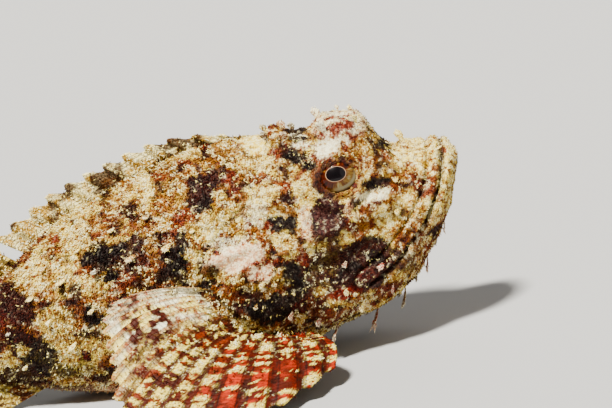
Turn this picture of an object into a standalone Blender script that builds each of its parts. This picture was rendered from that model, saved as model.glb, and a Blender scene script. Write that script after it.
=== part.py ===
"""A humpbacked reef scorpionfish, life size, lying at rest on its belly with its fins spread.

The body is one lofted form, parted by thin cuts into head, jaws, gill covers, trunk and tail stalk.
Fins, eyes, spines and skin flaps are placed from the same sizes, on the surface that they grow from.
Body places are (behind the snout, out to the left, up from the floor), in millimetres.
"""

import math

import bmesh
import bpy
import numpy as np
from mathutils import Matrix, Vector

METRE = 0.001  # one millimetre in metres, which the solids are built in
GAP = 0.3  # clear space between touching pieces

BODY_LENGTH = 190.0  # snout to the root of the tail fin
REST_POINT = 95.0  # the origin lies this far behind the snout, under the belly
BEND_START = 100.0  # the tail swings to the fish's left from here back
BEND_RADIUS = 350.0

SNOUT_TIP_UP = 53.0
NOSE_ROUNDING = {"back": 4.0, "belly": 6.0, "width": 5.0}

# Smooth outlines of the bare body: (behind the snout, size).
BACK = (
    (0, 56.5), (6, 58), (11, 59.4), (15, 60), (20, 57.6), (33, 58.5), (46, 62.5), (54, 68.3), (58, 70.4), (64, 71.4),
    (70, 71.7), (76, 71.4), (86, 69.8), (95, 67.4), (110, 63.7), (122, 59.5), (133, 54), (148, 44), (165, 35), (178, 31), (190, 30.5),
)
BELLY = (
    (0, 47), (3, 40), (11, 27), (20, 16.5), (28, 11), (44, 7.5), (63, 3), (75, 0), (85, -1.5), (105, -1.5),
    (117, -0.8), (133, 2.5), (150, 7.5), (170, 12), (190, 13),
)
HALF_WIDTH = (
    (0, 9), (5, 11.5), (10, 15), (20, 19), (30, 22), (45, 26), (60, 28.5), (75, 29.5), (90, 29), (110, 26),
    (130, 20), (150, 13), (170, 7.5), (190, 4),
)
WIDEST_UP = ((0, 52), (10, 42), (20, 34), (30, 30), (45, 28), (60, 29), (90, 31), (130, 31), (150, 27), (190, 21.7))
FULL_ABOVE = ((0, 2.0), (30, 1.9), (60, 1.75), (100, 1.8), (190, 2.0))
FULL_BELOW = ((0, 2.0), (30, 2.1), (60, 2.3), (110, 2.4), (150, 2.0), (190, 2.0))

# Swellings and hollows of the head and nape: start and end of a line, reach round it, and push.
FORMS = {
    "snout hump": ((7.5, 3, 60), (14, 4, 60), (6, 4.5, 7), (0, 0, 0.5)),
    "pit before the eyes": ((22.5, 0, 56), (22.5, 5, 54), (3.5, 8, 8), (0, 0, -0.8)),
    "brow crest": ((27.5, 9.5, 56), (38.5, 10.5, 56), (6.8, 6.4, 13), (0, 1.2, 17.0)),
    "crest's rear slope": ((42.5, 10.5, 60), (42.5, 10.5, 60), (4.5, 6.4, 13), (0, 0, -2.6)),
    "eye turret": ((38, 16, 54), (38, 16, 54), (10.5, 9, 11), (0, 2.8, 0)),
    "pit behind the eyes": ((48, 0, 60), (48, 6, 58), (5, 7, 8), (0, 0, -1.0)),
    "nape ridge": ((46.8, 10, 61), (53.5, 9.5, 63), (4.4, 4.0, 9), (0, 0.8, 8.2)),
    "temple ridge": ((47, 18, 55), (62, 20, 52), (4, 3, 3.5), (0, 1.6, 1.6)),
    "cheek shelf": ((24, 16, 44), (58, 27, 38), (3, 9, 3.0), (0, 2.6, 0.4)),
    "cheek hollow": ((38, 24, 32), (52, 27, 29), (6, 9, 5), (0, -1.6, 0)),
    "preopercle ridge": ((60, 28, 37), (48, 24, 13), (2.6, 9, 3.4), (0, 2.2, 0)),
    "upper gill ridge": ((65, 29, 43), (82, 29, 39.5), (4, 9, 2.0), (0, 1.8, 0)),
    "lower gill ridge": ((65, 29, 40), (78, 29, 31), (4, 9, 2.0), (0, 1.4, 0)),
    "upper lip": ((3, 8, 55), (9, 16, 35), (3.2, 6, 4.5), (-1.2, 1.6, 0.4)),
    "cheekbone end": ((26, 21, 25), (33, 23, 21), (4.5, 7, 5), (0, 2.4, 0)),
    "lower lip": ((0.5, 4, 50), (5, 13, 32), (2.6, 6, 5), (-0.6, 0.9, 0)),
    "chin knob": ((0, 0, 51), (0, 0, 48), (4, 4, 6), (-0.4, 0, 0)),
    "jaw angle": ((34, 20, 12), (40, 21, 11), (6, 7, 5), (0, 1.8, -1)),
    "shoulder": ((88, 28, 46), (98, 27, 44), (9, 9, 9), (0, 1.2, 0)),
    "back hump": ((70, 0, 68), (92, 0, 68), (12, 9, 9), (0, 0, 0.6)),
}

EYE = {"behind": 38.2, "out": 14.0, "up": 55.0, "radius": 8.2}
LID = {"radius": 7.4, "width": 2.3, "height": 2.6}

# Side-view lines of the cuts, as (behind, up).
GILL_SLIT = ((57, 80), (58.5, 66), (63, 56), (74, 49), (84, 39.5), (80.5, 29), (72, 18), (60, 8), (53, -6))
PREOPERCLE = ((59.5, 56), (63, 46), (62.5, 34), (59, 22), (52, 12), (44, 3))
MOUTH = ((-6, 62.5), (3.4, 58), (7.6, 46), (15.6, 34.5), (26, 26), (35, 21.5))
JAW_REAR = ((35, 21.5), (41, 14), (45, -4))
LIP_REAR = ((5.4, 68), (8.0, 58.5), (12.6, 46.5), (21.2, 36.5), (31, 29.5), (38, 26), (39.6, 21.5), (37.6, 18.7))
STALK_CUT = ((146, 80), (150, 45), (150, 25), (146, -6))
GILL_COVER_INNER = 13.0  # the gill covers reach in to this far from the middle


def curve(table, at):
    """A smooth curve through the table's (place, size) pairs, read at the given places."""
    places, sizes = np.array(table, float).T
    slopes = np.gradient(sizes, places)
    at = np.clip(at, places[0], places[-1])
    i = np.clip(np.searchsorted(places, at, side="right") - 1, 0, len(places) - 2)
    step = places[i + 1] - places[i]
    t = (at - places[i]) / step
    rise = t * t * (3 - 2 * t)
    return (
        (1 - rise) * sizes[i]
        + rise * sizes[i + 1]
        + t * (1 - t) ** 2 * step * slopes[i]
        - t * t * (1 - t) * step * slopes[i + 1]
    )


def rounding(behind, length):
    """0 at the snout tip, rising as a quarter ellipse to 1 at the given length."""
    left = 1 - np.clip(behind / length, 0, 1)
    return np.sqrt(np.clip(1 - left * left, 0, 1))


def bare_skin(behind, turn):
    """The left side before its swellings. turn runs from 0 on the back to pi under the belly."""
    top = SNOUT_TIP_UP + (curve(BACK, behind) - SNOUT_TIP_UP) * rounding(behind, NOSE_ROUNDING["back"])
    low = SNOUT_TIP_UP + (curve(BELLY, behind) - SNOUT_TIP_UP) * rounding(behind, NOSE_ROUNDING["belly"])
    width = curve(HALF_WIDTH, behind) * rounding(behind, NOSE_ROUNDING["width"])
    middle = np.clip(curve(WIDEST_UP, behind), low + 0.3 * (top - low), top - 0.3 * (top - low))
    above = turn < math.pi / 2
    power = 2 / np.where(above, curve(FULL_ABOVE, behind), curve(FULL_BELOW, behind))
    reach = np.where(above, top - middle, middle - low)
    out = width * np.abs(np.sin(turn)) ** power
    up = middle + reach * np.sign(np.cos(turn)) * np.abs(np.cos(turn)) ** power
    return np.stack([behind + 0 * turn, out, up], axis=-1)


def swell(points):
    """Adds the swellings and the ring of the eyelids to points of the left side."""
    made = points.copy()
    off_middle = np.clip(points[..., 1] / 3, 0, 1)
    for start, end, reach, push in FORMS.values():
        scaled = points / reach
        first = np.array(start) / reach
        along = np.array(end) / reach - first
        t = np.clip((scaled - first) @ along / max(along @ along, 1e-9), 0, 1)
        near = np.exp(-((scaled - first - t[..., None] * along) ** 2).sum(axis=-1))
        made[..., 0] += near * push[0]
        made[..., 1] += near * push[1] * off_middle
        made[..., 2] += near * push[2]
    from_eye = np.hypot(made[..., 0] - EYE["behind"], made[..., 2] - EYE["up"])
    lid = np.exp(-(((from_eye - LID["radius"]) / LID["width"]) ** 2))
    side = np.clip((points[..., 1] - 8) / 4, 0, 1)
    made[..., 1] += lid * LID["height"] * side
    return made


def skin(behind, turn):
    return swell(bare_skin(np.asarray(behind, float), np.asarray(turn, float)))


def on_skin(behind, up):
    """The point of the left side at that place, and the direction straight out of it."""
    turns = np.linspace(0.02, math.pi - 0.02, 240)
    side = skin(np.full_like(turns, behind), turns)
    above = np.flatnonzero(side[:, 2] >= up)
    turn = turns[above[-1]] if len(above) else turns[np.argmax(side[:, 2])]
    here = skin(behind, turn)
    back = skin(behind + 1.0, turn) - here
    down = skin(behind, turn + 0.03) - here
    straight = np.cross(down, back)
    return here, straight / np.linalg.norm(straight) * np.sign(straight[1])


def placed(points, swung=True):
    """World places, in metres, of body places, with the tail swung round."""
    points = np.asarray(points, float)
    behind, out, up = points[..., 0], points[..., 1], points[..., 2]
    if not swung:
        return np.stack([REST_POINT - behind, out, np.maximum(up, 0)], axis=-1) * METRE
    swing = np.clip(behind - BEND_START, 0, None) / BEND_RADIUS
    x = REST_POINT - np.minimum(behind, BEND_START) - BEND_RADIUS * np.sin(swing) + out * np.sin(swing)
    y = BEND_RADIUS * (1 - np.cos(swing)) + out * np.cos(swing)
    return np.stack([x, y, np.maximum(up, 0)], axis=-1) * METRE


def mirrored(points, side):
    """The same points on the left (side 1) or the right (side -1)."""
    return np.asarray(points, float) * (1, side, 1)


def mesh_object(name, points, faces):
    """A closed mesh object in the scene, its faces turned outwards."""
    mesh = bpy.data.meshes.new(name)
    mesh.from_pydata([tuple(p) for p in points], [], [tuple(int(i) for i in f) for f in faces])
    shape = bmesh.new()
    shape.from_mesh(mesh)
    bmesh.ops.remove_doubles(shape, verts=shape.verts, dist=1e-6)
    bmesh.ops.triangulate(shape, faces=[f for f in shape.faces if len(f.verts) > 3])
    bmesh.ops.recalc_face_normals(shape, faces=shape.faces)
    if shape.calc_volume(signed=True) < 0:
        bmesh.ops.reverse_faces(shape, faces=shape.faces)
    shape.to_mesh(mesh)
    shape.free()
    thing = bpy.data.objects.new(name, mesh)
    bpy.context.scene.collection.objects.link(thing)
    return thing


def stations():
    """Places of the body's rings: close on the snout, then even on head, trunk and stalk."""
    snout = 12 * np.linspace(0.12, 1, 7) ** 2
    head = np.arange(14.6, 86, 2.8)
    trunk = np.arange(88.5, 150, 4.9)
    stalk = np.linspace(153, BODY_LENGTH, 7)
    return np.concatenate([snout, head, trunk, stalk])


def whole_body(name, grown=0.0, half_ring=18):
    """The body as one closed loft, moved out by grown along its normals."""
    turns = np.linspace(0, math.pi, half_ring + 1)
    behind = stations()
    left = skin(behind[:, None], turns[None, :])
    right = mirrored(left[:, -2:0:-1], -1)
    rings = placed(np.concatenate([left, right], axis=1))
    count = rings.shape[1]
    snout = placed(skin(0.0, math.pi / 2) * (1, 0, 1))
    tail = rings[-1].mean(axis=0) - (0.0012, 0, 0)
    points = np.concatenate([rings.reshape(-1, 3), [snout, tail]])
    faces = []
    for r in range(len(rings) - 1):
        for c in range(count):
            a, b = r * count + c, r * count + (c + 1) % count
            faces += [(a, b, b + count), (a, b + count, a + count)]
    end = (len(rings) - 1) * count
    for c in range(count):
        after = (c + 1) % count
        faces += [(len(points) - 2, after, c), (len(points) - 1, end + c, end + after)]
    body = mesh_object(name, points, faces)
    if grown:
        shape = bmesh.new()
        shape.from_mesh(body.data)
        shape.normal_update()
        moved = [v.co + v.normal * grown * METRE for v in shape.verts]
        for vertex, place in zip(shape.verts, moved):
            vertex.co = place
        shape.to_mesh(body.data)
        shape.free()
    return body


def smooth_path(points, steps=3):
    """A smooth line through the points, with a few steps in each stretch."""
    points = np.array(points, float)
    at = np.linspace(0, len(points) - 1, (len(points) - 1) * steps + 1)
    numbered = np.arange(len(points))
    return np.stack([curve(np.stack([numbered, column], axis=1), at) for column in points.T], axis=1)


def thin_cutter(name, line, half_span=60.0):
    """A sheet of the gap's thickness, standing on a side-view line and reaching through the body."""
    line = smooth_path(line)
    along = np.gradient(line, axis=0)
    along /= np.linalg.norm(along, axis=1)[:, None]
    across = np.stack([-along[:, 1], along[:, 0]], axis=1) * GAP / 2
    return prism(name, np.concatenate([line + across, (line - across)[::-1]]), -half_span, half_span)


def prism(name, outline, low, high):
    """A solid standing on a closed side-view outline, from low to high across the body."""
    count = len(outline)
    points = [(REST_POINT - a, y, z) for y in (low, high) for a, z in outline]
    faces = [tuple(range(count)), tuple(range(2 * count - 1, count - 1, -1))]
    faces += [(i, (i + 1) % count, (i + 1) % count + count, i + count) for i in range(count)]
    return mesh_object(name, np.array(points) * METRE, faces)


def boolean(thing, operation, other, solver="EXACT"):
    """Applies one Boolean to thing with an object or a collection."""
    step = thing.modifiers.new("step", "BOOLEAN")
    step.operation = operation
    step.solver = solver
    if isinstance(other, bpy.types.Collection):
        step.operand_type = "COLLECTION"
        step.collection = other
    else:
        step.object = other
    bpy.context.view_layer.update()
    graph = bpy.context.evaluated_depsgraph_get()
    made = bpy.data.meshes.new_from_object(thing.evaluated_get(graph))
    thing.modifiers.clear()
    thing.data = made
    return thing


def drop(*things):
    for thing in things:
        bpy.data.objects.remove(thing)


def islands(mesh):
    """The closed surfaces of a mesh, each as a set of its face numbers, largest first."""
    shape = bmesh.new()
    shape.from_mesh(mesh)
    shape.faces.ensure_lookup_table()
    found, seen = [], set()
    for face in shape.faces:
        if face.index in seen:
            continue
        group, wave = {face.index}, [face]
        while wave:
            for edge in wave.pop().edges:
                for other in edge.link_faces:
                    if other.index not in group:
                        group.add(other.index)
                        wave.append(other)
        seen |= group
        found.append(group)
    sizes = {id(g): sum(shape.faces[i].calc_area() for i in g) for g in found}
    shape.free()
    return sorted(found, key=lambda g: -sizes[id(g)])


def keep_faces(thing, group):
    """Leaves only the faces of one closed surface."""
    shape = bmesh.new()
    shape.from_mesh(thing.data)
    shape.faces.ensure_lookup_table()
    bmesh.ops.delete(shape, geom=[f for f in shape.faces if f.index not in group], context="FACES")
    shape.to_mesh(thing.data)
    shape.free()
    return thing


def keep_largest(thing):
    return keep_faces(thing, islands(thing.data)[0])


def middle_of(thing):
    return sum((v.co for v in thing.data.vertices), Vector()) / len(thing.data.vertices)


def parted(thing, count):
    """The largest closed surfaces of an object as objects of their own."""
    pieces = []
    for group in islands(thing.data)[:count]:
        piece = thing.copy()
        piece.data = thing.data.copy()
        bpy.context.scene.collection.objects.link(piece)
        pieces.append(keep_faces(piece, group))
    drop(thing)
    return pieces


def joined(thing, pieces):
    """One closed body of a node and the pieces rooted in it."""
    if not pieces:
        return thing
    group = bpy.data.collections.new("rooted pieces")
    for piece in pieces:
        group.objects.link(piece)
    boolean(thing, "UNION", group)
    drop(*pieces)
    bpy.data.collections.remove(group)
    return keep_largest(thing)


def spine(behind, up, side, length, thick, lean=(1.0, 0.35, 0.1)):
    """A bony head spine, rooted in the skin and leaning back."""
    root, straight = on_skin(behind, up)
    way = np.array(lean) + straight * 0.5
    way /= np.linalg.norm(way)
    sunk = root - straight * 0.6 - way * length * 0.35
    start, end = placed(mirrored([sunk, root + way * length], side))
    shape = bmesh.new()
    bmesh.ops.create_cone(
        shape, cap_ends=True, segments=6, radius1=thick / 2 * METRE, radius2=0.22 * METRE,
        depth=(Vector(end) - Vector(start)).length,
    )
    turn = (Vector(end) - Vector(start)).to_track_quat("Z", "Y").to_matrix().to_4x4()
    shape.transform(Matrix.Translation((Vector(start) + Vector(end)) / 2) @ turn)
    mesh = bpy.data.meshes.new("spine")
    shape.to_mesh(mesh)
    shape.free()
    thing = bpy.data.objects.new("spine", mesh)
    bpy.context.scene.collection.objects.link(thing)
    return thing


def flap(behind, up, side, length, width, hang=(0.5, 0.3, -0.6), curl=0.25):
    """A flat, tapered skin flap, rooted in the skin, that hangs and curls back."""
    root, straight = on_skin(behind, up)
    way = np.array(hang) + straight * 0.6
    way /= np.linalg.norm(way)
    flat = np.cross(way, straight)
    flat /= np.linalg.norm(flat)
    thin = np.cross(flat, way)
    rings = []
    for along, wide, thick in ((-0.28, 0.8, 0.5), (0.0, 0.9, 0.5), (0.4, 1.0, 0.42), (0.78, 0.62, 0.34)):
        centre = root + way * length * along + np.array((1, 0, 0)) * curl * length * max(along, 0) ** 2
        for across, deep in ((1, 0), (0, 1), (-1, 0), (0, -1)):
            rings.append(centre + flat * across * width / 2 * wide + thin * deep * thick)
    rings.append(root + way * length + np.array((1, 0, 0)) * curl * length)
    faces = [(3, 2, 1, 0)]
    for ring in range(3):
        for c in range(4):
            a, b = ring * 4 + c, ring * 4 + (c + 1) % 4
            faces.append((a, b, b + 4, a + 4))
    faces += [(12 + c, 12 + (c + 1) % 4, 16) for c in range(4)]
    return mesh_object("flap", placed(mirrored(rings, side)), faces)


def fin(name, root, tip, rays, rows, bow=None, ray_thick=1.5, web_thick=0.6, notch=0.03, side=1, swung=True):
    """A fin as one closed sheet, its rays raised as ridges on both faces.

    root and tip give body places for k from 0, the first ray, to 1, the last. bow moves a ray's middle.
    """
    between = (0.0, 0.2, 0.8)
    k = np.array([ray + step for ray in range(rays - 1) for step in between] + [rays - 1.0])
    on_ray = np.isclose(k, np.round(k))
    beside = ~on_ray
    k = k / (rays - 1)
    t = np.linspace(0, 1, rows + 1)
    starts, ends = root(k), tip(k)
    length = np.where(beside, 1 - notch, 1.0)
    ends = starts + (ends - starts) * length[:, None]
    arch = (4 * t * (1 - t))[None, :, None] * (bow(k) if bow else np.zeros((len(k), 3)))[:, None]
    middle = starts[:, None] + (ends - starts)[:, None] * t[None, :, None] + arch
    normal = np.cross(np.gradient(middle, axis=0), np.gradient(middle, axis=1))
    normal /= np.linalg.norm(normal, axis=-1, keepdims=True)
    taper = 1 - 0.5 * t[None, :]
    thick = np.where(on_ray[:, None], ray_thick * taper, web_thick) / 2
    thick = np.maximum(thick, 0.26)
    faces_up = middle + normal * thick[..., None]
    faces_down = middle - normal * thick[..., None]
    lowest = np.minimum(faces_up[..., 2], faces_down[..., 2])
    lift = np.maximum(-lowest, 0)
    for face in (faces_up, faces_down):
        face[..., 2] += lift
    columns, across = middle.shape[:2]
    points = np.concatenate([faces_up.reshape(-1, 3), faces_down.reshape(-1, 3)])
    half = columns * across
    faces = []
    for c in range(columns - 1):
        for r in range(rows):
            a, b = c * across + r, (c + 1) * across + r
            for tri in ((a, b, b + 1), (a, b + 1, a + 1)):
                faces += [tri, tuple(i + half for i in reversed(tri))]
    rim = [c * across for c in range(columns)]
    rim += [(columns - 1) * across + r for r in range(1, across)]
    rim += [c * across + rows for c in range(columns - 2, -1, -1)]
    rim += [r for r in range(rows - 1, 0, -1)]
    for a, b in zip(rim, rim[1:] + rim[:1]):
        faces += [(a, a + half, b + half), (a, b + half, b)]
    return mesh_object(name, placed(mirrored(points, side), swung), faces)


def mixed(start, end, k):
    """Places from start to end for each k."""
    return np.array(start, float) + (np.array(end, float) - np.array(start, float)) * k[:, None]


def pectoral_root(k):
    """The broad, slanting root of the breast fin, sunk into the flank."""
    return mixed((78.5, 26, 29.5), (66, 14, 6.5), k)


PECTORAL_HEADING = ((0, 9), (0.12, 14), (0.3, 28), (0.6, 54), (0.8, 80), (1, 112))  # degrees out from straight back
PECTORAL_RISE = ((0, 8), (0.15, 4.5), (0.3, -2), (0.6, -13), (0.8, -9.5), (1, -1))
PECTORAL_LENGTH = ((0, 35), (0.12, 40), (0.3, 46), (0.6, 62), (0.8, 57), (1, 40))


def pectoral_tip(k):
    """Tips of the fanned rays: short above, longest behind, and the lowest ones reaching forward."""
    heading = np.radians(curve(PECTORAL_HEADING, k))
    rise = np.radians(curve(PECTORAL_RISE, k))
    length = curve(PECTORAL_LENGTH, k)
    start = pectoral_root(k)
    flat = length * np.cos(rise)
    made = start + np.stack([flat * np.cos(heading), flat * np.sin(heading), length * np.sin(rise)], axis=1)
    made[:, 2] = np.maximum(made[:, 2], 0.7)
    return made


def pectoral_bow(k):
    """The upper rays arch upwards, and the lowest ones forwards."""
    low = np.clip((k - 0.6) / 0.4, 0, 1) ** 2
    return np.stack([-7 * low, 2 + 2 * low, 3.5 + 3.5 * np.clip(k / 0.3, 0, 1) - 2 * low], axis=1)


def pelvic_root(k):
    return mixed((68, 8.5, 4.0), (76, 9.5, 2.2), k)


def pelvic_tip(k):
    heading = np.radians(60 - 34 * k)
    length = 33 + 7 * np.sin(math.pi * k)
    start = mixed((69, 11, 0.7), (77, 13, 0.7), k)
    return start + np.stack([length * np.cos(heading), length * np.sin(heading), 0 * k], axis=1)


def dorsal_place(k, first, last, sunk):
    """Places along the back, sunk into it."""
    behind = first + (last - first) * k
    return np.stack([behind, 0 * k, curve(BACK, behind) - sunk], axis=1)


def spiny_root(k):
    return dorsal_place(k, 63, 138, 2.5)


SPINE_HEIGHT = ((0, 2.2), (0.1, 3.6), (0.25, 4.8), (0.7, 4.8), (0.92, 4.4), (1, 5.0))


def spiny_tip(k):
    height = curve(SPINE_HEIGHT, k) + 2.5
    return spiny_root(k) + np.stack([height * 1.5, 0 * k, height], axis=1)


def soft_root(k):
    return dorsal_place(k, 142, 170, 2.0)


def soft_tip(k):
    height = 5.0 + 7.0 * np.sin(math.pi * (0.15 + 0.7 * k))
    return soft_root(k) + np.stack([height * 1.6, 0 * k, height + 2.0], axis=1)


def anal_root(k):
    behind = 139 + 22 * k
    return np.stack([behind, 0 * k, curve(BELLY, behind) + 2.2], axis=1)


def anal_tip(k):
    start = anal_root(k)
    length = 17 + 5 * np.sin(math.pi * k)
    return np.stack([start[:, 0] + length, -4.5 - 5 * k, 0.8 + 1.2 * k], axis=1)


def caudal_root(k):
    return mixed((186.5, 0, 29.0), (186.5, 0, 14.5), k)


def caudal_tip(k):
    fan = np.radians(19 * (1 - 2 * k))
    length = 44 + 3 * np.sin(math.pi * k)
    return caudal_root(k) + np.stack([length * np.cos(fan), 0 * k, length * np.sin(fan)], axis=1)


def fins():
    """Every fin, cut to the grown body so that its root meets the skin."""
    made = []
    for side, word in ((1, "left"), (-1, "right")):
        made.append(fin(
            f"pectoral_fin_{word}", pectoral_root, pectoral_tip, rays=17, rows=5, bow=pectoral_bow,
            ray_thick=1.7, notch=0.02, side=side, swung=False,
        ))
        made.append(fin(
            f"pelvic_fin_{word}", pelvic_root, pelvic_tip, rays=6, rows=4, ray_thick=1.3, side=side, swung=False,
        ))
    made.append(fin("dorsal_fin_spiny", spiny_root, spiny_tip, rays=12, rows=3, ray_thick=2.0, notch=0.22))
    made.append(fin("dorsal_fin_soft", soft_root, soft_tip, rays=9, rows=3, ray_thick=1.2))
    made.append(fin("anal_fin", anal_root, anal_tip, rays=8, rows=3, ray_thick=1.2))
    made.append(fin("caudal_fin", caudal_root, caudal_tip, rays=13, rows=4, ray_thick=1.5, web_thick=0.7))
    grown = whole_body("grown_body", grown=GAP)
    for thing in made:
        keep_largest(boolean(thing, "DIFFERENCE", grown))
    drop(grown)
    return made


def eye_place(side):
    return placed(mirrored((EYE["behind"], EYE["out"], EYE["up"]), side))


def ball(name, centre, radius, segments=16, rings=10):
    """A sphere whose poles lie fore and aft."""
    shape = bmesh.new()
    bmesh.ops.create_uvsphere(shape, u_segments=segments, v_segments=rings, radius=radius * METRE)
    shape.transform(Matrix.Translation(centre) @ Matrix.Rotation(math.pi / 2, 4, "X"))
    mesh = bpy.data.meshes.new(name)
    shape.to_mesh(mesh)
    shape.free()
    thing = bpy.data.objects.new(name, mesh)
    bpy.context.scene.collection.objects.link(thing)
    return thing


HEAD_SPINES = (
    # behind, up, length, thickness
    (27.0, 67.0, 4.0, 2.2), (42.5, 66.5, 5.0, 2.6), (52.0, 66.5, 4.5, 2.4), (61.0, 69.5, 5.0, 2.6),
    (56.0, 55.0, 4.0, 2.2), (38.0, 42.5, 3.5, 2.2), (48.0, 40.5, 4.0, 2.4), (57.0, 38.0, 5.0, 2.8),
    (57.0, 30.5, 4.2, 2.4), (53.5, 22.5, 3.8, 2.2),
)
GILL_SPINES = ((78.0, 42.0, 5.5, 2.8), (73.0, 37.5, 4.5, 2.4))
HEAD_FLAPS = (
    # behind, up, length, width
    (17.0, 56.8, 5.5, 3.0), (41.5, 69.5, 6.5, 4.2), (29.0, 70.0, 4.0, 3.0), (24.0, 43.0, 4.5, 3.5),
    (47.0, 11.5, 7.5, 5.0), (41.0, 30.0, 4.0, 3.0),
)
LIP_FLAPS = ((30.0, 27.2, 4.0, 3.2),)
JAW_FLAPS = ((8.0, 33.0, 4.5, 3.0), (15.0, 22.0, 5.5, 3.6), (24.0, 14.0, 6.5, 4.4), (34.0, 10.5, 7.5, 5.0))
GILL_FLAPS = ((60.0, 19.0, 4.0, 3.4), (66.5, 30.5, 4.0, 3.4))
FLANK_FLAPS = (
    (92, 47, 5.0, 4.0), (103, 46, 5.0, 4.0), (114, 44, 5.0, 3.8), (125, 42, 4.6, 3.6), (136, 38, 4.4, 3.4),
    (112, 24, 4.2, 3.4), (126, 22, 4.0, 3.2),
)
STALK_FLAPS = ((158, 27, 4.0, 3.0), (170, 24, 3.6, 2.8))


NOSTRILS = ((17.5, 54.5), (24.5, 51.5))


def nostril(behind, up, side):
    """A short open tube round a nostril."""
    root, straight = on_skin(behind, up)
    flat = np.cross(straight, (1.0, 0, 0))
    flat /= np.linalg.norm(flat)
    across = np.cross(straight, flat)
    turns = np.linspace(0, 2 * math.pi, 8, endpoint=False)
    points = []
    for radius, height in ((1.9, -1.2), (1.25, 1.5), (0.75, 1.5), (0.5, 0.2)):
        ring = np.cos(turns)[:, None] * flat + np.sin(turns)[:, None] * across
        points.append(root + straight * height + ring * radius)
    faces = [tuple(range(8)), tuple(range(31, 23, -1))]
    faces += [(r * 8 + c, r * 8 + (c + 1) % 8, r * 8 + 8 + (c + 1) % 8, r * 8 + 8 + c) for r in range(3) for c in range(8)]
    return mesh_object("nostril", placed(mirrored(np.concatenate(points), side)), faces)


def both_sides(make, rows):
    return [make(a, z, side, *size) for a, z, *size in rows for side in (1, -1)]


def copy_of(thing):
    other = thing.copy()
    other.data = thing.data.copy()
    bpy.context.scene.collection.objects.link(other)
    return other


def gill_cover(head, side):
    """Takes one gill cover out of the head's side, between the cheek's rear edge and the gill slit."""
    front = smooth_path(PREOPERCLE)
    rear = np.array(((50, -8), (95, 10), (98, 45), (74, 62)))
    span = (GILL_COVER_INNER, 60.0) if side > 0 else (-60.0, -GILL_COVER_INNER)
    within = prism("within", np.concatenate([front, rear]), *span)
    cover = keep_largest(boolean(copy_of(head), "INTERSECT", within))
    drop(within)
    room_front = front - (GAP, 0)
    room_span = (span[0] - GAP, span[1]) if side > 0 else (span[0], span[1] + GAP)
    room = prism("room", np.concatenate([room_front, rear]), *room_span)
    keep_largest(boolean(head, "DIFFERENCE", room))
    drop(room)
    return cover


def parted_body():
    """Head, jaws, gill covers, trunk and tail stalk, each one closed piece."""
    body = whole_body("body")
    for number, line in enumerate((GILL_SLIT, STALK_CUT, MOUTH + JAW_REAR[1:], LIP_REAR)):
        cutter = thin_cutter(f"cut_{number}", line)
        boolean(body, "DIFFERENCE", cutter)
        drop(cutter)
    pieces = sorted(parted(body, 5), key=lambda piece: middle_of(piece).x)
    stalk, trunk, head = pieces[:3]
    lower_jaw, upper_jaw = sorted(pieces[3:], key=lambda piece: middle_of(piece).z)
    covers = {side: gill_cover(head, side) for side in (1, -1)}
    for side in (1, -1):
        socket = ball("socket", Vector(eye_place(side)), EYE["radius"] + GAP, segments=18, rings=12)
        keep_largest(boolean(head, "DIFFERENCE", socket))
        drop(socket)
    joined(head, both_sides(spine, HEAD_SPINES) + both_sides(flap, HEAD_FLAPS) + both_sides(nostril, NOSTRILS))
    joined(upper_jaw, both_sides(flap, LIP_FLAPS))
    joined(lower_jaw, both_sides(flap, JAW_FLAPS))
    joined(trunk, both_sides(flap, FLANK_FLAPS))
    joined(stalk, both_sides(flap, STALK_FLAPS))
    named = {"tail_stalk": stalk, "trunk": trunk, "head": head, "lower_jaw": lower_jaw, "upper_jaw": upper_jaw}
    for side, word in ((1, "left"), (-1, "right")):
        cover = covers[side]
        joined(cover, [spine(a, z, side, length, wide) for a, z, length, wide in GILL_SPINES]
               + [flap(a, z, side, length, wide) for a, z, length, wide in GILL_FLAPS])
        named[f"gill_cover_{word}"] = cover
    for name, piece in named.items():
        piece.name = name
    return list(named.values())


def eyes():
    return [
        ball(f"eye_{word}", Vector(eye_place(side)), EYE["radius"]) for side, word in ((1, "left"), (-1, "right"))
    ]


FINISHES = {
    # colour (linear), roughness
    "skin_cream": ((0.62, 0.50, 0.33), 0.75),
    "fin_cream": ((0.58, 0.47, 0.33), 0.7),
    "fin_rust": ((0.55, 0.16, 0.05), 0.65),
    "eye_dark": ((0.03, 0.02, 0.02), 0.1),
}
FINISH_OF = {"eye": "eye_dark", "pectoral": "fin_rust", "fin": "fin_cream"}


def finish(thing):
    """Gives a node its own material, chosen by the word in its name."""
    kind = next((FINISH_OF[word] for word in FINISH_OF if word in thing.name), "skin_cream")
    colour, roughness = FINISHES[kind]
    material = bpy.data.materials.new(f"{thing.name}_{kind}")
    material.use_nodes = True
    shader = material.node_tree.nodes["Principled BSDF"]
    shader.inputs["Base Color"].default_value = (*colour, 1)
    shader.inputs["Roughness"].default_value = roughness
    shader.inputs["Metallic"].default_value = 0
    thing.data.materials.clear()
    thing.data.materials.append(material)
    thing.data.shade_smooth()
    thing.data.set_sharp_from_angle(angle=math.radians(50))


def main():
    for thing in list(bpy.data.objects):
        bpy.data.objects.remove(thing)
    model = bpy.data.collections.new("scorpionfish")
    bpy.context.scene.collection.children.link(model)
    for thing in fins() + parted_body() + eyes():
        finish(thing)
        bpy.context.scene.collection.objects.unlink(thing)
        model.objects.link(thing)


main()
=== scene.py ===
"""The looks of a humpbacked reef scorpionfish, life size, lying at rest on its belly.

One skin covers the body, head and jaws. Soft papillae, skin flaps, spines, fins and eyes stand on it.
Body places are (behind the snout, out to the left, up from the floor), in millimetres.
"""

import math
from itertools import chain

import bmesh
import bpy
import numpy as np
from mathutils import Matrix, Vector


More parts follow.
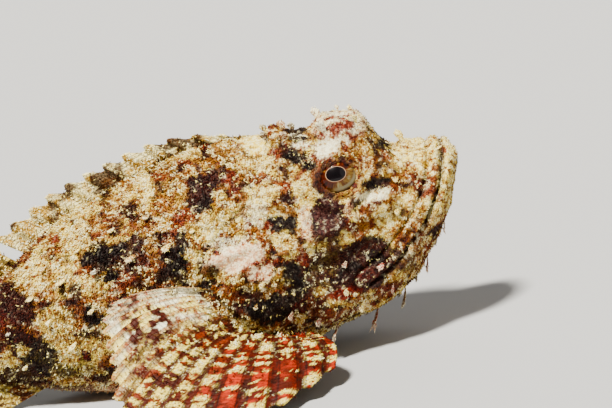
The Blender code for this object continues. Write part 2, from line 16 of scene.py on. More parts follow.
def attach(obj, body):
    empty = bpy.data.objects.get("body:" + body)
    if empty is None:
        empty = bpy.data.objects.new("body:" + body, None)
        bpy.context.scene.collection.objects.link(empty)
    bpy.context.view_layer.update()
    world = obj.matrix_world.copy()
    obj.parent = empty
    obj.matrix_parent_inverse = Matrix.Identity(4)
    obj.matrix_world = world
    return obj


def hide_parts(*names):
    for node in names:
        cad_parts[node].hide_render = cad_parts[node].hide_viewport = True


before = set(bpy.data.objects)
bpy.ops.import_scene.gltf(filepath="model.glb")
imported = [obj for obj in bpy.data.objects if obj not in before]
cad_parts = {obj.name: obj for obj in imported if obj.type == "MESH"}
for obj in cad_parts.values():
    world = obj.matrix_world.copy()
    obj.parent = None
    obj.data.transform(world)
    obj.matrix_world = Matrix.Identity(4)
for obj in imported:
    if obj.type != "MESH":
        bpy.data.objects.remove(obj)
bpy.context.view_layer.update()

METRE = 0.001  # one millimetre in metres

# ---- Colours, as sRGB hex ----

PALETTE = {
    "white": "fffbd4", "cream": "f4dc5e", "tan": "c0942c", "ochre": "ad6c08", "yellow": "c69a00",
    "rust": "8a2e00", "brown": "3e0e00", "dark": "1e0500", "maroon": "451512", "pink": "f2c49a",
    "olive": "74691a", "orange": "b02800", "red": "5c0e00", "grey": "cdc190",
}


def linear(hex_colour):
    """The linear values of an sRGB hex colour."""
    parts = [int(hex_colour[i:i + 2], 16) / 255 for i in (0, 2, 4)]
    return np.array([p / 12.92 if p <= 0.04045 else ((p + 0.055) / 1.055) ** 2.4 for p in parts])


TONE = {name: linear(value) for name, value in PALETTE.items()}

# ---- The body's own sizes ----

BODY_LENGTH = 190.0
REST_POINT = 95.0
BEND_START = 100.0
BEND_RADIUS = 350.0
SNOUT_TIP_UP = 53.0
NOSE_ROUNDING = {"back": 4.0, "belly": 6.0, "width": 5.0}

BACK = (
    (0, 56.5), (6, 58), (11, 59.4), (15, 60), (20, 57.6), (33, 58.5), (46, 62.5), (54, 68.3), (58, 70.4),
    (64, 71.4), (70, 71.7), (76, 71.4), (86, 69.8), (95, 67.4), (110, 63.7), (122, 59.5), (133, 54),
    (148, 44), (165, 35), (178, 31), (190, 30.5),
)
BELLY = (
    (0, 47), (3, 40), (11, 27), (20, 16.5), (28, 11), (44, 7.5), (63, 3), (75, 0), (85, -1.5), (105, -1.5),
    (117, -0.8), (133, 2.5), (150, 7.5), (170, 12), (190, 13),
)
HALF_WIDTH = (
    (0, 9), (5, 11.5), (10, 15), (20, 19), (30, 22), (45, 26), (60, 28.5), (75, 29.5), (90, 29), (110, 26),
    (130, 20), (150, 13), (170, 7.5), (190, 4),
)
WIDEST_UP = (
    (0, 52), (10, 42), (20, 34), (30, 30), (45, 28), (60, 29), (90, 31), (130, 31), (150, 27), (190, 21.7),
)
FULL_ABOVE = ((0, 2.0), (30, 1.9), (60, 1.75), (100, 1.8), (190, 2.0))
FULL_BELOW = ((0, 2.0), (30, 2.1), (60, 2.3), (110, 2.4), (150, 2.0), (190, 2.0))

# Swellings and hollows: start and end of a line, reach round it, and push.
FORMS = {
    "snout hump": ((7.5, 3, 60), (14, 4, 60), (6, 4.5, 7), (0, 0, 0.5)),
    "pit before the eyes": ((22.5, 0, 56), (22.5, 5, 54), (3.5, 8, 8), (0, 0, -0.8)),
    "brow crest": ((27.5, 9.5, 56), (38.5, 10.5, 56), (6.8, 6.4, 13), (0, 1.2, 17.0)),
    "crest's rear slope": ((42.5, 10.5, 60), (42.5, 10.5, 60), (4.5, 6.4, 13), (0, 0, -2.6)),
    "eye turret": ((38, 16, 54), (38, 16, 54), (10.5, 9, 11), (0, 2.8, 0)),
    "pit behind the eyes": ((48, 0, 60), (48, 6, 58), (5, 7, 8), (0, 0, -1.0)),
    "nape ridge": ((46.8, 10, 61), (53.5, 9.5, 63), (4.4, 4.0, 9), (0, 0.8, 8.2)),
    "temple ridge": ((47, 18, 55), (62, 20, 52), (4, 3, 3.5), (0, 1.6, 1.6)),
    "cheek shelf": ((24, 16, 44), (58, 27, 38), (3, 9, 3.0), (0, 2.6, 0.4)),
    "cheek hollow": ((38, 24, 32), (52, 27, 29), (6, 9, 5), (0, -1.6, 0)),
    "preopercle ridge": ((60, 28, 37), (48, 24, 13), (2.6, 9, 3.4), (0, 2.2, 0)),
    "upper gill ridge": ((65, 29, 43), (82, 29, 39.5), (4, 9, 2.0), (0, 1.8, 0)),
    "lower gill ridge": ((65, 29, 40), (78, 29, 31), (4, 9, 2.0), (0, 1.4, 0)),
    "upper lip": ((3, 8, 55), (9, 16, 35), (3.2, 6, 4.5), (-1.2, 1.6, 0.4)),
    "cheekbone end": ((26, 21, 25), (33, 23, 21), (4.5, 7, 5), (0, 2.4, 0)),
    "lower lip": ((0.5, 4, 50), (5, 13, 32), (2.6, 6, 5), (-0.6, 0.9, 0)),
    "chin knob": ((0, 0, 51), (0, 0, 48), (4, 4, 6), (-0.4, 0, 0)),
    "jaw angle": ((34, 20, 12), (40, 21, 11), (6, 7, 5), (0, 1.8, -1)),
    "shoulder": ((88, 28, 46), (98, 27, 44), (9, 9, 9), (0, 1.2, 0)),
    "back hump": ((70, 0, 68), (92, 0, 68), (12, 9, 9), (0, 0, 0.6)),
}
# Smaller folds that only the skin has.
FINE_FORMS = {
    "shelf over the eye": ((33, 18, 66.5), (46, 16, 66.5), (4, 6, 1.5), (0, 1.5, 0.3)),
    "ridge below the eye": ((25, 18, 49), (33, 20, 47.6), (2.4, 6, 1.3), (0, 1.9, 0.3)),
    "second ridge below the eye": ((26, 18, 45.6), (32, 20, 44.6), (2.4, 6, 1.1), (0, 1.1, 0.2)),
    "crease before the eye": ((28.5, 18, 60), (30, 18, 50), (1.6, 6, 5), (0, -1.0, 0)),
    "crease behind the eye": ((47, 18, 61), (48, 19, 51), (1.8, 6, 4), (0, -1.1, 0)),
    "cheek fold": ((36, 22, 37), (50, 26, 34), (4, 8, 1.5), (0, 1.0, 0)),
    "throat fold": ((40, 20, 20), (56, 22, 12), (4, 8, 1.8), (0, 0.9, 0)),
    "nape lump": ((68, 14, 62), (70, 14, 62), (4, 5, 4), (0, 0.8, 0.8)),
    "shoulder fold": ((84, 27, 52), (98, 26, 51), (4, 8, 1.8), (0, 0.8, 0)),
}
EYE = {"behind": 38.2, "out": 14.0, "up": 55.0, "radius": 8.2}
LID = {"radius": 7.4, "width": 2.3, "height": 2.6}

# Side-view lines of creases, as (behind, up).
GILL_SLIT = ((57, 80), (58.5, 66), (63, 56), (74, 49), (84, 39.5), (80.5, 29), (72, 18), (60, 8), (53, -6))
PREOPERCLE = ((59.5, 56), (63, 46), (62.5, 34), (59, 22), (52, 12), (44, 3))
MOUTH = ((-6, 62.5), (3.4, 58), (7.6, 46), (15.6, 34.5), (26, 26), (35, 21.5))
LIP_REAR = (
    (5.4, 68), (8.0, 58.5), (12.6, 46.5), (21.2, 36.5), (31, 29.5), (38, 26), (39.6, 21.5), (37.6, 18.7),
)


def curve(table, at):
    """A smooth curve through the table's (place, size) pairs, read at the given places."""
    places, sizes = np.array(table, float).T
    slopes = np.gradient(sizes, places)
    at = np.clip(at, places[0], places[-1])
    i = np.clip(np.searchsorted(places, at, side="right") - 1, 0, len(places) - 2)
    step = places[i + 1] - places[i]
    t = (at - places[i]) / step
    rise = t * t * (3 - 2 * t)
    return (
        (1 - rise) * sizes[i]
        + rise * sizes[i + 1]
        + t * (1 - t) ** 2 * step * slopes[i]
        - t * t * (1 - t) * step * slopes[i + 1]
    )


def rounding(behind, length):
    """0 at the snout tip, rising as a quarter ellipse to 1 at the given length."""
    left = 1 - np.clip(behind / length, 0, 1)
    return np.sqrt(np.clip(1 - left * left, 0, 1))


def bell(away, width):
    """1 where away is 0, fading to nothing at about twice the width."""
    return np.exp(-((away / width) ** 2))


def bare_skin(behind, turn):
    """The left side before its swellings. turn runs from 0 on the back to pi under the belly."""
    top = SNOUT_TIP_UP + (curve(BACK, behind) - SNOUT_TIP_UP) * rounding(behind, NOSE_ROUNDING["back"])
    low = SNOUT_TIP_UP + (curve(BELLY, behind) - SNOUT_TIP_UP) * rounding(behind, NOSE_ROUNDING["belly"])
    width = curve(HALF_WIDTH, behind) * rounding(behind, NOSE_ROUNDING["width"])
    middle = np.clip(curve(WIDEST_UP, behind), low + 0.3 * (top - low), top - 0.3 * (top - low))
    above = turn < math.pi / 2
    power = 2 / np.where(above, curve(FULL_ABOVE, behind), curve(FULL_BELOW, behind))
    reach = np.where(above, top - middle, middle - low)
    out = width * np.abs(np.sin(turn)) ** power
    up = middle + reach * np.sign(np.cos(turn)) * np.abs(np.cos(turn)) ** power
    return np.stack([behind + 0 * turn, out, up], axis=-1)


def swell(points, forms):
    """Adds swellings and the ring of the eyelids to points of the left side."""
    made = points.copy()
    off_middle = np.clip(points[..., 1] / 3, 0, 1)
    for start, end, reach, push in forms.values():
        scaled = points / reach
        first = np.array(start) / reach
        along = np.array(end) / reach - first
        t = np.clip((scaled - first) @ along / max(along @ along, 1e-9), 0, 1)
        near = np.exp(-((scaled - first - t[..., None] * along) ** 2).sum(axis=-1))
        made[..., 0] += near * push[0]
        made[..., 1] += near * push[1] * off_middle
        made[..., 2] += near * push[2]
    from_eye = np.hypot(made[..., 0] - EYE["behind"], made[..., 2] - EYE["up"])
    lid = bell(from_eye - LID["radius"], LID["width"])
    side = np.clip((points[..., 1] - 8) / 4, 0, 1)
    made[..., 1] += lid * LID["height"] * side
    return made


def skin_at(behind, turn, forms=FORMS):
    """Points of the left side with their swellings."""
    return swell(bare_skin(np.asarray(behind, float), np.asarray(turn, float)), forms)


def on_skin(behind, up):
    """The point of the left side at that place, and the direction straight out of it."""
    turns = np.linspace(0.02, math.pi - 0.02, 240)
    side = skin_at(np.full_like(turns, behind), turns)
    above = np.flatnonzero(side[:, 2] >= up)
    turn = turns[above[-1]] if len(above) else turns[np.argmax(side[:, 2])]
    here = skin_at(behind, turn)
    straight = np.cross(skin_at(behind, turn + 0.03) - here, skin_at(behind + 1.0, turn) - here)
    return here, straight / np.linalg.norm(straight) * np.sign(straight[1])


def placed(points, swung=True):
    """World places, in metres, of body places, with the tail swung round."""
    points = np.asarray(points, float)
    behind, out, up = points[..., 0], points[..., 1], points[..., 2]
    if not swung:
        return np.stack([REST_POINT - behind, out, np.maximum(up, 0)], axis=-1) * METRE
    swing = np.clip(behind - BEND_START, 0, None) / BEND_RADIUS
    x = REST_POINT - np.minimum(behind, BEND_START) - BEND_RADIUS * np.sin(swing) + out * np.sin(swing)
    y = BEND_RADIUS * (1 - np.cos(swing)) + out * np.cos(swing)
    return np.stack([x, y, np.maximum(up, 0)], axis=-1) * METRE


def mirrored(points, side):
    """The same points on the left (side 1) or the right (side -1)."""
    return np.asarray(points, float) * (1, side, 1)


def columns(*values):
    """Points made of one array for each coordinate."""
    return np.stack(values, axis=-1)


def unit(vectors):
    """The same directions at length 1."""
    return vectors / np.maximum(np.linalg.norm(vectors, axis=-1, keepdims=True), 1e-9)


# ---- Noise, lines and meshes ----


def noise(points, size, seed):
    """Smooth noise from 0 to 1 whose lumps are about size millimetres across."""
    place = np.asarray(points, float) / size + seed * 7.31
    cell = np.floor(place).astype(np.int64)
    t = place - cell
    t = t * t * (3 - 2 * t)
    total = np.zeros(place.shape[:-1])
    for corner in range(8):
        step = np.array([(corner >> axis) & 1 for axis in range(3)])
        x, y, z = np.moveaxis(cell + step, -1, 0)
        stir = (x * 73856093) ^ (y * 19349663) ^ (z * 83492791) ^ (seed * 26544357)
        stir = ((stir ^ (stir >> 13)) * 1274126177) & 0x7FFFFFFF
        stir = ((stir ^ (stir >> 15)) * 668265263) & 0x7FFFFFFF
        value = ((stir ^ (stir >> 11)) & 0xFFFF) / 65535
        total += np.where(step, t, 1 - t).prod(axis=-1) * value
    return total


def rise(values, low, high):
    """0 below low and 1 above high, smooth between them."""
    t = np.clip((values - low) / (high - low), 0, 1)
    return t * t * (3 - 2 * t)


def lumps(points, size, seed, low, high):
    """0 where the noise is below low and 1 where it is above high."""
    return rise(noise(points, size, seed), low, high)


def smooth_path(points, steps=5):
    """A smooth line through the points, with a few steps in each stretch."""
    points = np.array(points, float)
    at = np.linspace(0, len(points) - 1, (len(points) - 1) * steps + 1)
    numbered = np.arange(len(points))
    return np.stack([curve(np.stack([numbered, column], axis=1), at) for column in points.T], axis=1)


def beside(points, line):
    """Each point's distance from a side-view line, positive on its rear side."""
    line = smooth_path(line)
    flat = points[..., [0, 2]]
    best = np.full(flat.shape[:-1], 1e9)
    signed = best.copy()
    for start, end in zip(line[:-1], line[1:]):
        along = end - start
        t = np.clip((flat - start) @ along / (along @ along), 0, 1)
        off = flat - start - t[..., None] * along
        far = np.hypot(off[..., 0], off[..., 1])
        behind_it = np.sign(along[0] * off[..., 1] - along[1] * off[..., 0])
        nearer = far < best
        best = np.where(nearer, far, best)
        signed = np.where(nearer, far * behind_it, signed)
    return signed


def solid(name, points, faces, attributes=None, collection=None):
    """A mesh object from points in metres and lists or arrays of faces, with its attributes."""
    mesh = bpy.data.meshes.new(name)
    groups = [np.asarray(group, np.int32) for group in faces]
    corners = np.concatenate([group.ravel() for group in groups])
    sizes = np.concatenate([np.full(len(group), group.shape[1], np.int32) for group in groups])
    mesh.vertices.add(len(points))
    mesh.vertices.foreach_set("co", np.asarray(points, np.float32).ravel())
    mesh.loops.add(len(corners))
    mesh.loops.foreach_set("vertex_index", corners)
    mesh.polygons.add(len(sizes))
    mesh.polygons.foreach_set("loop_start", np.concatenate([[0], np.cumsum(sizes)[:-1]]).astype(np.int32))
    mesh.update(calc_edges=True)
    for key, values in (attributes or {}).items():
        give(mesh, key, values)
    thing = bpy.data.objects.new(name, mesh)
    (collection or bpy.context.scene.collection).objects.link(thing)
    mesh.shade_smooth()
    return thing


def give(mesh, key, values):
    """Stores one number, one place or one colour for each point of a mesh."""
    values = np.asarray(values, np.float32)
    if values.ndim == 1:
        mesh.attributes.new(key, "FLOAT", "POINT").data.foreach_set("value", values)
    elif key == "tint":
        with_alpha = np.concatenate([values, np.ones((len(values), 1), np.float32)], axis=1)
        mesh.attributes.new(key, "FLOAT_COLOR", "POINT").data.foreach_set("color", with_alpha.ravel())
    else:
        mesh.attributes.new(key, "FLOAT_VECTOR", "POINT").data.foreach_set("vector", values.ravel())


def outwards(thing):
    """Merges doubled points, and turns every face outwards."""
    shape = bmesh.new()
    shape.from_mesh(thing.data)
    bmesh.ops.remove_doubles(shape, verts=shape.verts, dist=1e-7)
    bmesh.ops.recalc_face_normals(shape, faces=shape.faces)
    shape.to_mesh(thing.data)
    shape.free()
    thing.data.shade_smooth()
    return thing


# ---- Markings, the same for skin and papillae ----

LOOK_DOWN = math.radians(10)
# A patch's middle and half sizes along and up the side (mm), tone, strength, and how frosted it is. A few
# patches are painted shade.
PATCHES = (
    # snout
    (9.7, 53.6, 10.4, 7.3, "cream", 1.0, 0.95),
    # lips
    (4.1, 40.2, 3.7, 7.9, "cream", 0.9, 0.85), (15.6, 56.6, 1.5, 0.9, "ochre", 0.8, 0.3),
    (15.6, 50.9, 1.8, 1.5, "ochre", 0.85, 0.3), (10.6, 50.1, 1.8, 1.5, "yellow", 0.8, 0.3),
    (7.6, 48.3, 1.5, 1.2, "rust", 0.8, 0.25), (7.4, 56.0, 0.9, 0.6, "ochre", 0.7, 0.3),
    (15.0, 47.3, 1.8, 1.2, "rust", 0.7, 0.3), (13.2, 43.9, 1.2, 1.2, "rust", 0.7, 0.3),
    # line behind the upper lip
    (3.7, 54.5, 0.8, 2.7, "rust", 0.95, 0.15), (5.3, 51.6, 0.9, 1.2, "brown", 0.8, 0.2),
    # painted shade in the pit before the crest
    (21.0, 59.4, 2.8, 2.1, "dark", 1.0, 0.0),
    # crest
    (31.8, 68.6, 9.2, 4.9, "white", 0.7, 0.96), (41.4, 68.3, 1.8, 3.7, "pink", 0.6, 1.0),
    (34.2, 66.8, 4.9, 1.7, "rust", 1.0, 0.1), (36.0, 64.9, 2.1, 1.1, "rust", 0.9, 0.15),
    (31.2, 62.8, 2.4, 1.4, "rust", 0.9, 0.25), (38.9, 64.6, 2.1, 0.8, "rust", 0.8, 0.3),
    (27.9, 70.2, 1.4, 1.1, "dark", 0.9, 0.1), (23.6, 64.6, 1.8, 1.8, "brown", 0.8, 0.3),
    (25.8, 60.1, 1.8, 2.5, "brown", 0.9, 0.25), (27.6, 63.7, 1.2, 0.9, "rust", 0.7, 0.3),
    (38.1, 62.6, 6.7, 1.2, "white", 0.8, 1.0), (47.2, 63.8, 3.0, 1.5, "white", 1.0, 1.0),
    (39.4, 60.2, 4.0, 2.1, "white", 1.0, 1.0), (33.7, 59.9, 1.2, 1.5, "rust", 0.8, 0.3),
    (40.7, 61.8, 0.9, 0.6, "rust", 0.6, 0.3), (44.4, 59.3, 1.5, 0.9, "rust", 0.6, 0.4),
    # pit behind the eye
    (51.0, 61.4, 2.8, 1.8, "dark", 1.0, 0.02), (48.6, 59.6, 3.2, 1.8, "dark", 1.0, 0.0),
    (45.6, 56.5, 2.1, 1.8, "dark", 1.0, 0.02), (46.8, 66.4, 3.2, 1.4, "dark", 0.95, 0.12),
    (51.0, 63.8, 2.1, 1.2, "brown", 0.85, 0.2),
    # nape ridge
    (51.2, 71.1, 3.0, 2.1, "rust", 1.0, 0.2), (47.3, 69.3, 1.5, 0.9, "tan", 0.7, 0.6),
    (45.0, 68.0, 1.8, 1.1, "brown", 0.9, 0.2), (55.8, 62.5, 2.4, 1.7, "rust", 0.8, 0.25),
    (29.1, 58.4, 3.7, 2.7, "tan", 0.8, 0.55), (29.4, 55.8, 1.8, 1.2, "rust", 0.7, 0.3),
    (26.4, 53.9, 2.4, 2.4, "ochre", 0.8, 0.45), (24.6, 52.5, 1.2, 1.8, "brown", 0.9, 0.15),
    (29.4, 50.1, 0.9, 2.1, "cream", 0.9, 1.0),
    # before the eye
    (27.0, 47.1, 4.6, 2.3, "dark", 1.0, 0.0), (24.6, 46.0, 1.8, 1.1, "brown", 1.0, 0.1),
    (21.6, 44.2, 1.8, 2.4, "rust", 0.6, 0.4), (22.8, 36.1, 1.5, 5.5, "cream", 0.9, 0.95),
    # ridge below the eye
    (28.8, 43.7, 5.2, 1.8, "white", 1.0, 1.0), (34.2, 42.4, 2.1, 1.2, "dark", 0.85, 0.1),
    (28.8, 41.5, 3.0, 0.6, "rust", 0.8, 0.3), (26.4, 34.9, 3.4, 6.1, "cream", 0.95, 0.95),
    (37.8, 41.9, 2.7, 1.8, "pink", 0.8, 0.9),
    # below the eye
    (43.8, 43.0, 6.0, 3.9, "maroon", 1.0, 0.02), (46.8, 39.4, 4.6, 3.9, "maroon", 1.0, 0.03),
    (42.0, 37.7, 4.2, 3.9, "maroon", 0.95, 0.08), (45.0, 34.3, 3.9, 2.1, "brown", 0.9, 0.1),
    (48.6, 39.3, 1.8, 1.8, "dark", 0.8, 0.08), (32.4, 35.6, 3.0, 2.4, "ochre", 0.9, 0.25),
    (30.6, 34.9, 1.5, 1.5, "rust", 0.9, 0.15), (37.2, 36.1, 1.8, 2.1, "rust", 0.7, 0.35),
    (45.6, 26.9, 7.0, 6.3, "brown", 0.9, 0.28), (53.4, 21.3, 4.9, 4.2, "brown", 0.9, 0.22),
    (44.4, 19.3, 5.6, 3.5, "brown", 0.9, 0.22),
    # by the corner of the mouth
    (34.2, 28.6, 7.0, 3.2, "dark", 0.95, 0.04), (34.8, 24.5, 9.5, 6.0, "brown", 1.0, 0.03),
    (31.8, 25.2, 2.8, 2.1, "dark", 0.9, 0.08), (39.6, 23.2, 3.5, 2.8, "dark", 0.9, 0.08),
    (37.2, 19.1, 8.4, 3.5, "brown", 1.0, 0.08), (35.4, 20.5, 3.0, 1.8, "red", 0.7, 0.2),
    (43.2, 16.8, 4.9, 1.8, "orange", 0.5, 0.55), (50.4, 18.6, 2.4, 1.5, "cream", 0.6, 0.8),
    (50.4, 40.5, 2.1, 6.1, "pink", 0.7, 1.0), (48.6, 49.6, 3.4, 4.9, "cream", 0.95, 1.0),
    (46.8, 32.0, 1.5, 1.8, "cream", 0.7, 0.8),
    # before the gill cover: a dark vertical band of painted shade
    (57.6, 25.3, 2.8, 4.2, "dark", 1.0, 0.06), (53.4, 29.7, 1.8, 2.7, "rust", 1.0, 0.06),
    (53.4, 25.4, 2.1, 2.1, "brown", 0.9, 0.15), (57.0, 20.9, 3.2, 2.8, "dark", 0.95, 0.25),
    # on the cheek
    (58.2, 41.1, 4.9, 2.8, "dark", 1.0, 0.0), (55.8, 37.8, 2.1, 1.5, "dark", 0.95, 0.04),
    (61.8, 41.5, 1.5, 1.2, "rust", 0.95, 0.1), (54.0, 52.5, 2.1, 2.0, "rust", 0.95, 0.15),
    (54.6, 48.8, 1.5, 1.4, "brown", 0.95, 0.1), (48.0, 55.4, 1.2, 0.6, "rust", 0.9, 0.2),
    (45.0, 50.3, 1.0, 0.7, "brown", 0.9, 0.1), (62.4, 50.8, 6.1, 4.0, "cream", 1.0, 1.0),
    (64.8, 45.4, 4.0, 3.4, "white", 0.6, 1.0), (58.2, 35.9, 4.3, 2.4, "cream", 0.95, 1.0),
    (57.0, 31.3, 2.7, 1.2, "cream", 0.9, 0.9), (63.0, 34.6, 1.5, 2.7, "rust", 0.85, 0.3),
    (63.6, 29.8, 2.4, 1.5, "rust", 0.9, 0.2), (62.4, 33.1, 1.1, 1.1, "dark", 0.8, 0.1),
    # smooth gill cover
    (73.2, 34.4, 8.2, 4.6, "pink", 1.0, 0.9), (75.6, 39.1, 6.1, 1.8, "white", 0.8, 1.0),
    (66.6, 27.9, 4.3, 2.4, "pink", 1.0, 0.5), (67.8, 31.2, 2.7, 0.5, "orange", 0.7, 0.1),
    (71.4, 28.1, 2.4, 0.5, "rust", 0.8, 0.1), (78.6, 36.8, 1.2, 0.9, "rust", 1.0, 0.08),
    (73.2, 43.4, 2.3, 1.7, "yellow", 1.0, 0.2), (78.0, 46.3, 4.9, 3.7, "cream", 1.0, 0.95),
    (74.4, 50.6, 3.0, 1.5, "yellow", 0.5, 0.5), (68.4, 51.2, 3.0, 1.7, "ochre", 0.85, 0.3),
    (61.8, 54.9, 1.5, 0.6, "rust", 0.8, 0.2), (63.6, 23.8, 5.5, 2.1, "olive", 0.55, 0.7),
    (72.6, 23.4, 2.5, 1.8, "brown", 0.85, 0.25), (75.0, 26.4, 1.5, 1.2, "rust", 0.7, 0.3),
    # nape patch
    (76.8, 58.2, 8.4, 3.0, "brown", 1.0, 0.1), (80.4, 54.3, 5.3, 3.9, "brown", 1.0, 0.06),
    (70.2, 57.5, 2.7, 2.4, "rust", 0.9, 0.2), (79.2, 52.5, 3.2, 2.1, "dark", 0.9, 0.05),
    (69.6, 54.0, 1.8, 1.2, "rust", 0.8, 0.25), (74.4, 53.3, 1.8, 1.4, "cream", 1.0, 1.0),
    # smooth yellow nape
    (60.6, 67.4, 4.6, 4.0, "cream", 1.0, 0.95), (58.2, 69.2, 1.8, 0.9, "yellow", 0.45, 0.8),
    (54.6, 66.2, 1.5, 1.5, "yellow", 0.6, 0.5), (61.8, 60.8, 6.1, 2.7, "cream", 0.9, 0.95),
    (70.2, 67.6, 4.3, 3.7, "tan", 0.8, 0.6), (76.2, 70.5, 1.2, 1.8, "rust", 0.8, 0.2),
    (67.2, 67.9, 0.9, 0.9, "rust", 0.7, 0.2), (74.4, 63.7, 3.0, 1.8, "ochre", 0.7, 0.35),
    (67.8, 62.5, 1.2, 0.9, "rust", 0.7, 0.3), (81.6, 70.0, 3.7, 2.7, "cream", 0.95, 0.95),
    (96.3, 59.6, 2.7, 5.5, "cream", 1.0, 1.0), (89.7, 66.8, 4.9, 2.4, "tan", 0.7, 0.7),
    (87.8, 58.0, 3.7, 6.1, "tan", 0.8, 0.5), (86.8, 49.9, 2.1, 2.4, "rust", 0.8, 0.2),
    (90.6, 54.2, 2.7, 2.7, "ochre", 0.7, 0.4), (84.0, 61.2, 1.8, 2.4, "rust", 0.7, 0.3),
    (109.6, 62.0, 1.8, 4.2, "brown", 0.95, 0.12), (107.7, 55.0, 3.7, 4.3, "rust", 0.6, 0.5),
    (102.0, 54.6, 2.5, 2.5, "brown", 0.9, 0.2), (107.7, 51.3, 2.8, 1.4, "brown", 0.7, 0.3),
    (103.0, 63.9, 1.8, 1.2, "ochre", 0.9, 0.2), (105.8, 59.3, 4.3, 2.4, "tan", 0.7, 0.6),
    # flank patches
    (109.6, 43.6, 5.6, 2.8, "dark", 1.0, 0.03), (113.4, 43.8, 4.6, 2.8, "dark", 1.0, 0.02),
    (117.2, 42.3, 2.5, 1.4, "dark", 1.0, 0.05), (112.5, 40.1, 4.2, 2.1, "dark", 0.95, 0.06),
    (110.6, 36.2, 2.8, 2.1, "dark", 1.0, 0.05), (103.0, 44.6, 2.8, 2.5, "brown", 0.9, 0.15),
    (105.8, 39.8, 4.2, 3.2, "brown", 0.85, 0.25), (102.0, 36.8, 3.2, 2.8, "brown", 0.75, 0.3),
    (108.7, 33.4, 3.7, 1.8, "rust", 0.5, 0.5), (91.0, 37.1, 4.6, 4.9, "dark", 1.0, 0.14),
    (87.8, 42.4, 2.5, 2.8, "dark", 0.95, 0.12), (94.9, 33.3, 3.5, 2.1, "dark", 0.9, 0.2),
    (90.1, 31.4, 2.8, 2.1, "dark", 0.9, 0.2), (97.3, 41.8, 2.7, 4.3, "tan", 0.75, 0.6),
    (97.3, 48.6, 4.3, 2.1, "ochre", 0.6, 0.5), (99.2, 36.7, 1.2, 1.2, "rust", 0.9, 0.1),
    (83.4, 28.3, 3.3, 1.4, "dark", 1.0, 0.03), (80.4, 31.4, 1.8, 2.1, "brown", 0.85, 0.15),
    (84.6, 31.5, 1.8, 1.8, "cream", 0.9, 1.0), (84.6, 38.3, 2.4, 2.4, "cream", 0.9, 0.95),
    # cream flank
    (122.0, 57.9, 9.2, 6.7, "cream", 1.0, 1.0), (120.1, 47.6, 4.6, 4.3, "cream", 1.0, 1.0),
    (133.4, 41.9, 9.8, 4.9, "cream", 1.0, 1.0), (118.5, 33.6, 6.7, 2.4, "cream", 0.9, 0.9),
    (130.5, 38.4, 2.4, 5.5, "tan", 0.6, 0.6), (126.7, 50.8, 1.5, 1.8, "rust", 1.0, 0.08),
    (142.9, 45.2, 2.5, 1.4, "brown", 0.95, 0.08), (121.0, 55.4, 1.1, 0.8, "dark", 0.9, 0.1),
    (132.4, 47.8, 0.8, 0.7, "dark", 0.9, 0.1), (137.6, 51.4, 3.0, 1.5, "ochre", 0.6, 0.4),
    (125.8, 43.9, 1.8, 1.5, "rust", 0.4, 0.6), (122.9, 32.6, 2.1, 3.2, "brown", 0.95, 0.12),
    (119.1, 25.4, 2.6, 3.2, "dark", 1.0, 0.05), (125.8, 27.3, 2.8, 2.1, "brown", 0.8, 0.3),
    (122.0, 20.2, 5.3, 1.5, "brown", 0.95, 0.12), (130.5, 25.6, 6.1, 5.5, "cream", 0.8, 0.85),
    (124.8, 15.6, 9.8, 4.9, "cream", 0.75, 0.8), (123.9, 14.0, 1.5, 2.1, "red", 1.0, 0.05),
    (130.5, 9.3, 7.9, 2.4, "olive", 0.6, 0.6),
    # broad dark saddle, then painted shade along the belly's lowest edge by the floor (the last patch)
    (145.7, 35.0, 4.6, 6.3, "brown", 1.0, 0.02), (141.0, 30.7, 4.2, 5.3, "brown", 1.0, 0.04),
    (147.6, 25.7, 4.6, 5.8, "red", 0.9, 0.03), (143.8, 20.6, 5.3, 5.3, "brown", 1.0, 0.05),
    (139.1, 15.2, 6.7, 6.3, "dark", 0.95, 0.1), (149.5, 8.7, 8.4, 5.6, "brown", 0.95, 0.14),
    (143.8, 18.7, 1.8, 2.1, "cream", 0.8, 0.9), (138.9, 0.7, 15.4, 4.9, "dark", 0.9, 0.12),
    # painted shade under the throat, then the chin's and the tail's own colours
    (64.8, 16.3, 9.8, 3.9, "dark", 1.0, 0.04), (54.6, 15.1, 5.5, 2.4, "red", 0.7, 0.3),
    (48.0, 9.6, 6.1, 2.4, "rust", 0.8, 0.2), (15.6, 35.1, 4.3, 6.7, "tan", 0.7, 0.8),
    (22.2, 30.1, 3.0, 5.5, "ochre", 0.7, 0.5), (11.2, 35.7, 3.0, 4.9, "cream", 0.9, 0.95),
    (23.4, 22.0, 4.3, 3.7, "brown", 0.7, 0.3), (16.8, 25.2, 3.0, 3.7, "rust", 0.6, 0.4),
    (31.2, 14.5, 4.3, 2.4, "rust", 0.8, 0.3), (39.6, 11.4, 5.5, 2.4, "orange", 0.4, 0.6),
    (172, 25, 4.5, 9.0, "brown", 1.0, 0.15), (160, 27, 5.0, 7.0, "cream", 0.9, 0.95),
    (183, 22, 5, 9, "cream", 0.9, 0.85),
)
# Where papillae are small and sparse: middle, half sizes along and up, and what is left of them.
SMOOTH = (
    (73.2, 34.4, 7.9, 4.3, 0.1), (66.6, 27.9, 4.0, 2.1, 0.25), (60.6, 67.4, 4.6, 3.7, 0.3),
    (28.8, 43.7, 4.3, 1.5, 0.15), (47.2, 63.8, 2.7, 1.2, 0.25), (39.0, 60.4, 3.7, 2.1, 0.2),
    (50.4, 42.5, 2.4, 6.1, 0.5), (44.4, 40.8, 4.3, 4.3, 0.45), (9.7, 53.6, 9.8, 6.7, 0.7),
    (34.2, 65.9, 7.9, 5.5, 0.6), (78.0, 42.7, 4.6, 2.4, 0.35), (30.3, 52.7, 2.7, 3.7, 0.4),
    (36.3, 61.8, 6.1, 1.5, 0.3),
)
# Blotches under the patches: lump size, seed, noise from and to, tone, strength, and how frosted they are.
BLOTCHES = (
    (4.4, 19, 0.56, 0.62, "rust", 0.9, 0.25), (3.2, 20, 0.60, 0.68, "ochre", 0.8, 0.4),
    (2.6, 21, 0.62, 0.67, "brown", 0.95, 0.12),
)
